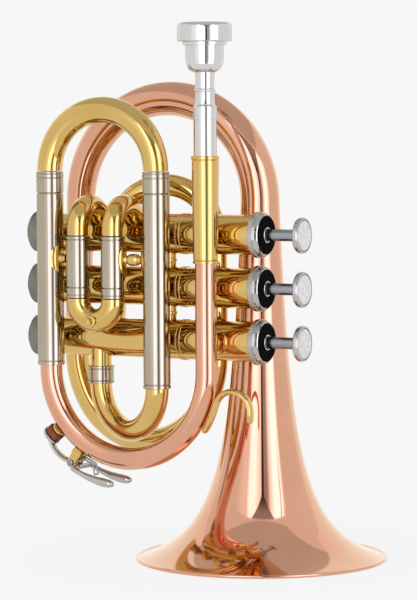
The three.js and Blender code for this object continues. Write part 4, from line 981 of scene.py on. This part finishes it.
def leadpipe_post_skins():
    casing = Vector((leadpipe_x, valve_y, third_valve))
    start = loop_y + leadpipe_radius - 0.1
    length = valve_y - casing_radius - 0.5 - start
    outline = [(0, 4.2), (1.3, 4.1), (1.8, 2.6), (2.4, 2.2), (length - 0.9, 2.2), (length, 3.2)]
    post = turned((leadpipe_x, start, third_valve), Y, outline, 48, ease=0.2)
    return [post, foot_skin(casing, X, -Y, casing_radius, casing_foot)]


piece("bell_post", [bell_post_skin()], "bell_brace")
piece("leadpipe_post", leadpipe_post_skins(), "leadpipe_brace")


# Pinky hook
def hook_skin():
    foot, leave = -pi / 5.3, -pi / 10.6
    half_thick, half_wide = 1.4, 2.6
    hook_radius, hook_turn, hook_tip = 9.3, 2.85, 5.6
    reach = crook_outer + 1.7
    out = out_from_crook(foot)
    route = Route(on_crook(reach, foot), along_crook(foot), out).bend(-out, reach, leave - foot)
    end = route.bend(X, hook_radius, hook_turn).straight(hook_tip).length
    outline = [(0, 0), (0, 0.9), (0.7, 1.25), (1.6, half_thick), (end - 2.0, half_thick), (end - 0.9, 1.2)]
    outline += [(end - 0.2, 0.7), (end, 0)]
    return swept(route, outline, 48, closed=False, width=half_wide / half_thick)


piece("little_finger_hook", [hook_skin()], "pinky_hook")

# Water key
pivot_reach = crook_outer + 6.4
pivot = on_crook(pivot_reach, pivot_angle)
cork_height = 3.2
cork_bottom = crook_outer + 1.6 + seat_gap
cup_bottom = cork_bottom + cork_height + seat_gap
saddle_out, saddle_along = out_from_crook(pivot_angle), along_crook(pivot_angle)


def cork_skin():
    outline = [(0, 4.2), (0.2, 4.4), (cork_height - 0.2, 4.4), (cork_height, 4.2)]
    return turned(on_crook(cork_bottom, nipple_angle), out_from_crook(nipple_angle), outline, 48)


def leaf(route, outline, width):
    """A flat bar with rounded edges that follows a route."""
    return swept(route, outline, 40, closed=False, width=width)


def cup_skin():
    outline = [(0, 4.9), (0.9, 4.9), (1.6, 4.5), (2.2, 3.4), (2.6, 1.8)]
    return turned(on_crook(cup_bottom, nipple_angle), out_from_crook(nipple_angle), outline, 48)


def cup_arm_skin():
    """The arched arm from the cup to the key's barrel."""
    start, lean = on_crook(cup_bottom + 1.9, nipple_angle), 0.66
    chord = pivot - start
    inward = chord.cross(Y).normalized()
    arm = Route(start, chord.normalized() * cos(lean) - inward * sin(lean), inward)
    end = arm.bend(inward, chord.length / 2 / sin(lean), 2 * lean).length
    return leaf(arm, [(0, 0), (0, 0.8), (0.5, 1.3), (end - 0.5, 1.5), (end, 1.0), (end, 0)], 1.9)


def finger_skins():
    """The key's two fingers follow the leadpipe's crook, from a bridge beside the barrel."""
    reach, half_bridge, fingertip = crook_outer + 6.2, 9, -1.63
    angle = pivot_angle + 4.2 / reach
    middle = on_crook(reach, angle)
    yield bar(pivot, middle, 1.3)
    yield bar(middle - Y * half_bridge, middle + Y * half_bridge, 1.25, ease=0.6)
    out = out_from_crook(angle)
    for hand in (-1, 1):
        start = on_crook(reach, angle, loop_y + hand * (half_bridge - 0.3))
        finger = Route(start, along_crook(angle), -out).bend(-out, reach, fingertip - angle)
        end = finger.length
        outline = [(0, 0), (0, 0.9), (0.5, 1.2), (end * 0.25, 1.25), (end * 0.5, 1.7), (end * 0.75, 2.1)]
        outline += [(end * 0.9, 1.9), (end - 0.9, 1.3), (end - 0.2, 0.7), (end, 0)]
        yield leaf(finger, outline, 1.15)


def key_skins():
    return [bar(pivot - Y * 2.7, pivot + Y * 2.7, 2.1), cup_skin(), cup_arm_skin(), *finger_skins()]


def plate(start, half, reach, thickness, round_top=True):
    """A flat plate of the saddle from its foot outwards, with a round or a square top."""
    outline = [(-half, 0), (half, 0)]
    if round_top:
        turns = [pi * k / 12 for k in range(13)]
        outline += [(half * cos(turn), reach - half + half * sin(turn)) for turn in turns]
    else:
        outline += [(half, reach), (-half, reach)]
    near = [there(start + saddle_along * a + saddle_out * b) for a, b in outline]
    points = near + [point + thickness * mm for point in near]
    count = len(outline)
    faces = [list(range(count)), list(range(count, 2 * count))[::-1]]
    faces += [[k, (k + 1) % count, count + (k + 1) % count, count + k] for k in range(count)]
    return points, faces, [tuple(point) for point in points]


def saddle_skins():
    """Two ears that hold the screw, on a base that is wider than they are."""
    for hand in (-1, 1):
        start = on_crook(crook_outer - 1.5, pivot_angle, loop_y + hand * 3.0)
        yield plate(start, 2.2, 10.0, Y * hand * 1.3)
    yield plate(on_crook(crook_outer - 0.6, pivot_angle, loop_y - 4.5), 2.5, 2.0, Y * 9.0, round_top=False)


def screw_skin():
    outline = [(0, 1.2), (0.25, 1.6), (0.8, 1.7), (0.8, 0.9), (9.4, 0.9)]
    return turned(pivot - Y * 5.4, Y, outline, 32, ease=0.08)


def key_spring_skins():
    """Wire from the saddle that runs under the bridge and presses between the two fingers."""
    wire = lambda start, end: bar(start, end, 0.4, 16)
    start = on_crook(crook_outer + 2.1, pivot_angle)
    bent = on_crook(crook_outer + 1.6, pivot_angle + 0.19)
    tip = on_crook(crook_outer + 6.0, pivot_angle + 0.24)
    yield wire(start, on_crook(pivot_reach - 2.8, pivot_angle) + saddle_along * 2.2)
    for aside in (-Y * 1.6, Y * 1.6):
        yield wire(start + aside, bent + aside)
        yield wire(bent + aside, tip + aside)
    yield wire(tip - Y * 1.9, tip + Y * 1.9)


piece("drain_cork", [cork_skin()], "water_key_cork", body="water_key", slot="cork")
piece("water_key_lever", key_skins(), "water_key", body="water_key", slot="nickel", finish=cap_nickel)
piece("key_saddle", saddle_skins(), "water_key_saddle")
piece("key_screw", [screw_skin()], "water_key_screw", slot="spring_steel")
piece("key_wire_spring", key_spring_skins(), "water_key_spring", slot="spring_steel")

# Pistons stay as the frame has them, in the finished metal.
spring_foot, spring_head, spring_squeeze = -25.95, 9.75, 15.3
spring_wire, spring_coil, spring_turns, closed_pitch = 0.45, 5.9, 8, 1.0


def piston_spring_skin(height):
    """Round wire, coiled from the valve's guide to the top of the piston, with a closed turn at each end."""
    steps, sides = 40, 12
    ends = (0, 1, spring_turns - 1, spring_turns)
    lifts = [spring_foot, spring_foot + closed_pitch, spring_head - closed_pitch, spring_head]
    points, places = [], []
    for i in range(spring_turns * steps + 1):
        turn = 2 * pi * i / steps
        middle = np.interp(i / steps, ends, lifts)
        for k in range(sides):
            out, lift = (spring_wire * wave(2 * pi * k / sides) for wave in (cos, sin))
            reach = spring_coil + out
            place = (middle + lift, reach * cos(turn) + valve_y, reach * sin(turn) + height)
            points.append(there(place))
            places.append((out * mm, lift * mm, spring_coil * turn * mm))
    rings = [(first, sides) for first in range(0, len(points), sides)]
    faces = [face for here, ahead in zip(rings, rings[1:]) for face in band(here, ahead, sides)]
    faces += [list(range(first, first + sides)) for first, _ in (rings[0], rings[-1])]
    return points, faces, places


for number, height in enumerate(valve_heights, 1):
    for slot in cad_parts[f"piston_{number}"].material_slots:
        slot.material = finishes["nickel"]
    skins = [piston_spring_skin(height)]
    spring = piece(f"valve_spring_{number}", skins, f"piston_spring_{number}", slot="spring_steel")
    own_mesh(spring)
    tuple(X)

# Camera
view_azimuth = radians(28.0)
view_elevation = radians(3.7)
view_roll = radians(0.3)
camera_place = Vector((606.306, -1194.146, 213.524))
focal_pixels = 2757.9
picture_height = 600
sensor = 36.0
near_clip, far_clip = 0.05, 50

view_x, view_y = sin(view_azimuth), -cos(view_azimuth)
back = Vector((view_x * cos(view_elevation), view_y * cos(view_elevation), sin(view_elevation)))
right = Vector((-view_y, view_x, 0))
up = back.cross(right)
rolled_right = right * cos(view_roll) - up * sin(view_roll)
rolled_up = right * sin(view_roll) + up * cos(view_roll)
lens = bpy.data.cameras.new("studio_camera")
lens.sensor_width = sensor
lens.lens = focal_pixels * sensor / picture_height
lens.clip_start, lens.clip_end = near_clip, far_clip
camera = bpy.data.objects.new("studio_camera", lens)
turn = Matrix((rolled_right, rolled_up, back)).transposed().to_4x4()
camera.matrix_world = Matrix.Translation(there(camera_place)) @ turn
bpy.context.scene.collection.objects.link(camera)
bpy.context.scene.camera = camera

# Studio: a small white tent, with a thin gap in its front and a tall soft light on either side of it
paper_white = 0.93
backdrop_glow = 1.08
ceiling_tone = 0.64
tent_front, tent_rear, tent_left, tent_right = 0.40, 0.66, 0.52, 0.42
front_height, tent_height = 0.53, 0.65
floor_size, floor_drop = 3.0, 0.0002

# The front's gap and arch, in degrees to the right of the camera and metres above the floor
gap_angle, gap_half, gap_opens, gap_spread = 2.6, 3.2, 0.285, 125
arch_top, arch_fall = 0.505, 0.00005


def staged(name, points, faces, material, seen=True, **kept):
    made = mesh_object(name, points, faces, material, **kept)
    made.visible_camera = seen
    return made


def glowing(shop, color):
    black = {"Base_Color": (0, 0, 0), "Roughness": 1.0, "Specular_IOR_Level": 0.0}
    return shop.finish(**black, Emission_Color=color, Emission_Strength=1.0)


def studio_world():
    world = bpy.data.worlds.new("white_studio")
    bpy.context.scene.world = world
    world.use_nodes = True
    surround = world.node_tree.nodes["Background"]
    surround.inputs["Color"].default_value = (paper_white, paper_white, paper_white, 1)
    surround.inputs["Strength"].default_value = 1.0


def paper_floor():
    """White paper: the picture's white to the camera and to mirrors, with the trumpet's own shadow."""
    shop = Shop("white_paper")
    camera_ray, glossy_ray, transmission_ray = (shop.node("ShaderNodeLightPath", give=k) for k in (0, 3, 6))
    seen = (camera_ray + glossy_ray + transmission_ray).math("MINIMUM", 1.0)
    away = shop.node("ShaderNodeVectorMath", {"operation": "LENGTH"}, {0: shop.object_place()}, give=1)
    paper = shop.node("ShaderNodeBsdfDiffuse", {}, {"Color": (0.86, 0.86, 0.86)})
    white = shop.node("ShaderNodeEmission", {}, {"Color": (paper_white,) * 3, "Strength": 1.0})
    share = 0.90 + 0.10 * away.rise(0.07, 0.2)
    both = shop.node("ShaderNodeMixShader", {}, {0: seen * share, 1: paper, 2: white})
    shop.node("ShaderNodeOutputMaterial", {}, {"Surface": both})
    corners = [(a * floor_size, b * floor_size, 0) for a, b in ((-1, -1), (1, -1), (1, 1), (-1, 1))]
    floor = staged("floor", corners, [(0, 1, 2, 3)], shop.material)
    floor.location = bell_axis - Z * floor_drop


def round_camera(angle, distance, height):
    """A place in the studio, by its angle to the right of the camera as the trumpet sees it."""
    azimuth = view_azimuth + radians(angle)
    return bell_axis + Vector((sin(azimuth) * distance, -cos(azimuth) * distance, height))


def arc_wall(name, first, last, reach, height, material):
    """An upright wall of cloth, curved round the trumpet from the first angle to the last."""
    steps = 60
    angles = [first + (last - first) * k / steps for k in range(steps + 1)]
    places = [(angle, level, 0) for angle in angles for level in (0, height)]
    points = [round_camera(angle, reach, level) for angle, level, _ in places]
    faces = [(2 * k, 2 * k + 2, 2 * k + 3, 2 * k + 1) for k in range(steps)]
    staged(name, points, faces, material, seen=False, light_place=places)


def front_glow():
    """The tent's front: two tall lights, and a gap between them that opens out towards the top.

    The angle rises in degrees and the height in metres, as for the gap and the arch.
    """
    shop = Shop("softbox_cloth")
    place = {0: shop.kept("light_place")}
    angle, height = (shop.node("ShaderNodeSeparateXYZ", {}, place, give=k) for k in (0, 1))
    aside = (angle - gap_angle).math("ABSOLUTE")
    left = 0.25 * angle.rise(-62, -42) + 1.3 * angle.rise(-36, -28) - 0.95 * angle.rise(-18, -2)
    right = 1.75 * angle.rise(13, 32) * (1 - angle.rise(45, 54)) - 0.6 * angle.rise(0, 4)
    seam = angle.rise(42.6, 43.4) * (1 - angle.rise(44.4, 45.2)) * height.rise(0.12, 0.2)
    fold = 1 - 0.5 * angle.rise(5, 7) * (1 - angle.rise(13, 18))
    bright = (left + right) * (1 - seam)
    opening = gap_half + gap_spread * (height - gap_opens).math("MAXIMUM", 0.0)
    closed = (aside - opening).rise(-0.4, 0.6)
    dark = 0.05 + 0.33 * height.rise(0.28, 0.42)
    arch = arch_top - arch_fall * aside * aside
    above = (height - arch).rise(-0.008, 0.008)
    cloth = (paper_white + bright) * fold * (1 - 0.6 * seam) * closed + dark * (1 - closed)
    tone = cloth * (1 - above) + paper_white * above
    blue = tone + 0.32 * bright * closed * (1 - above)
    return glowing(shop, shop.node("ShaderNodeCombineXYZ", {}, {0: tone, 1: tone, 2: blue}))


def even_glow(name, tone):
    return glowing(Shop(name), (tone, tone, tone))


def ceiling_card():
    forward = round_camera(0, 1, 0) - bell_axis
    aside = Vector((-forward.y, forward.x, 0))
    front = 1.3 * tent_front
    corners = [(front, -tent_left), (front, tent_right), (-tent_rear, tent_right), (-tent_rear, -tent_left)]
    points = [bell_axis + forward * a + aside * b + Z * tent_height for a, b in corners]
    staged("ceiling_card", points, [(0, 1, 2, 3)], even_glow("ceiling_grey", ceiling_tone), seen=False)


studio_world()
paper_floor()
arc_wall("tent_front", -80, 80, tent_front, front_height, front_glow())
arc_wall("tent_rear", 120, 240, tent_rear, tent_height, even_glow("backdrop_white", backdrop_glow))
ceiling_card()

bpy.context.scene.view_settings.view_transform = "Standard"
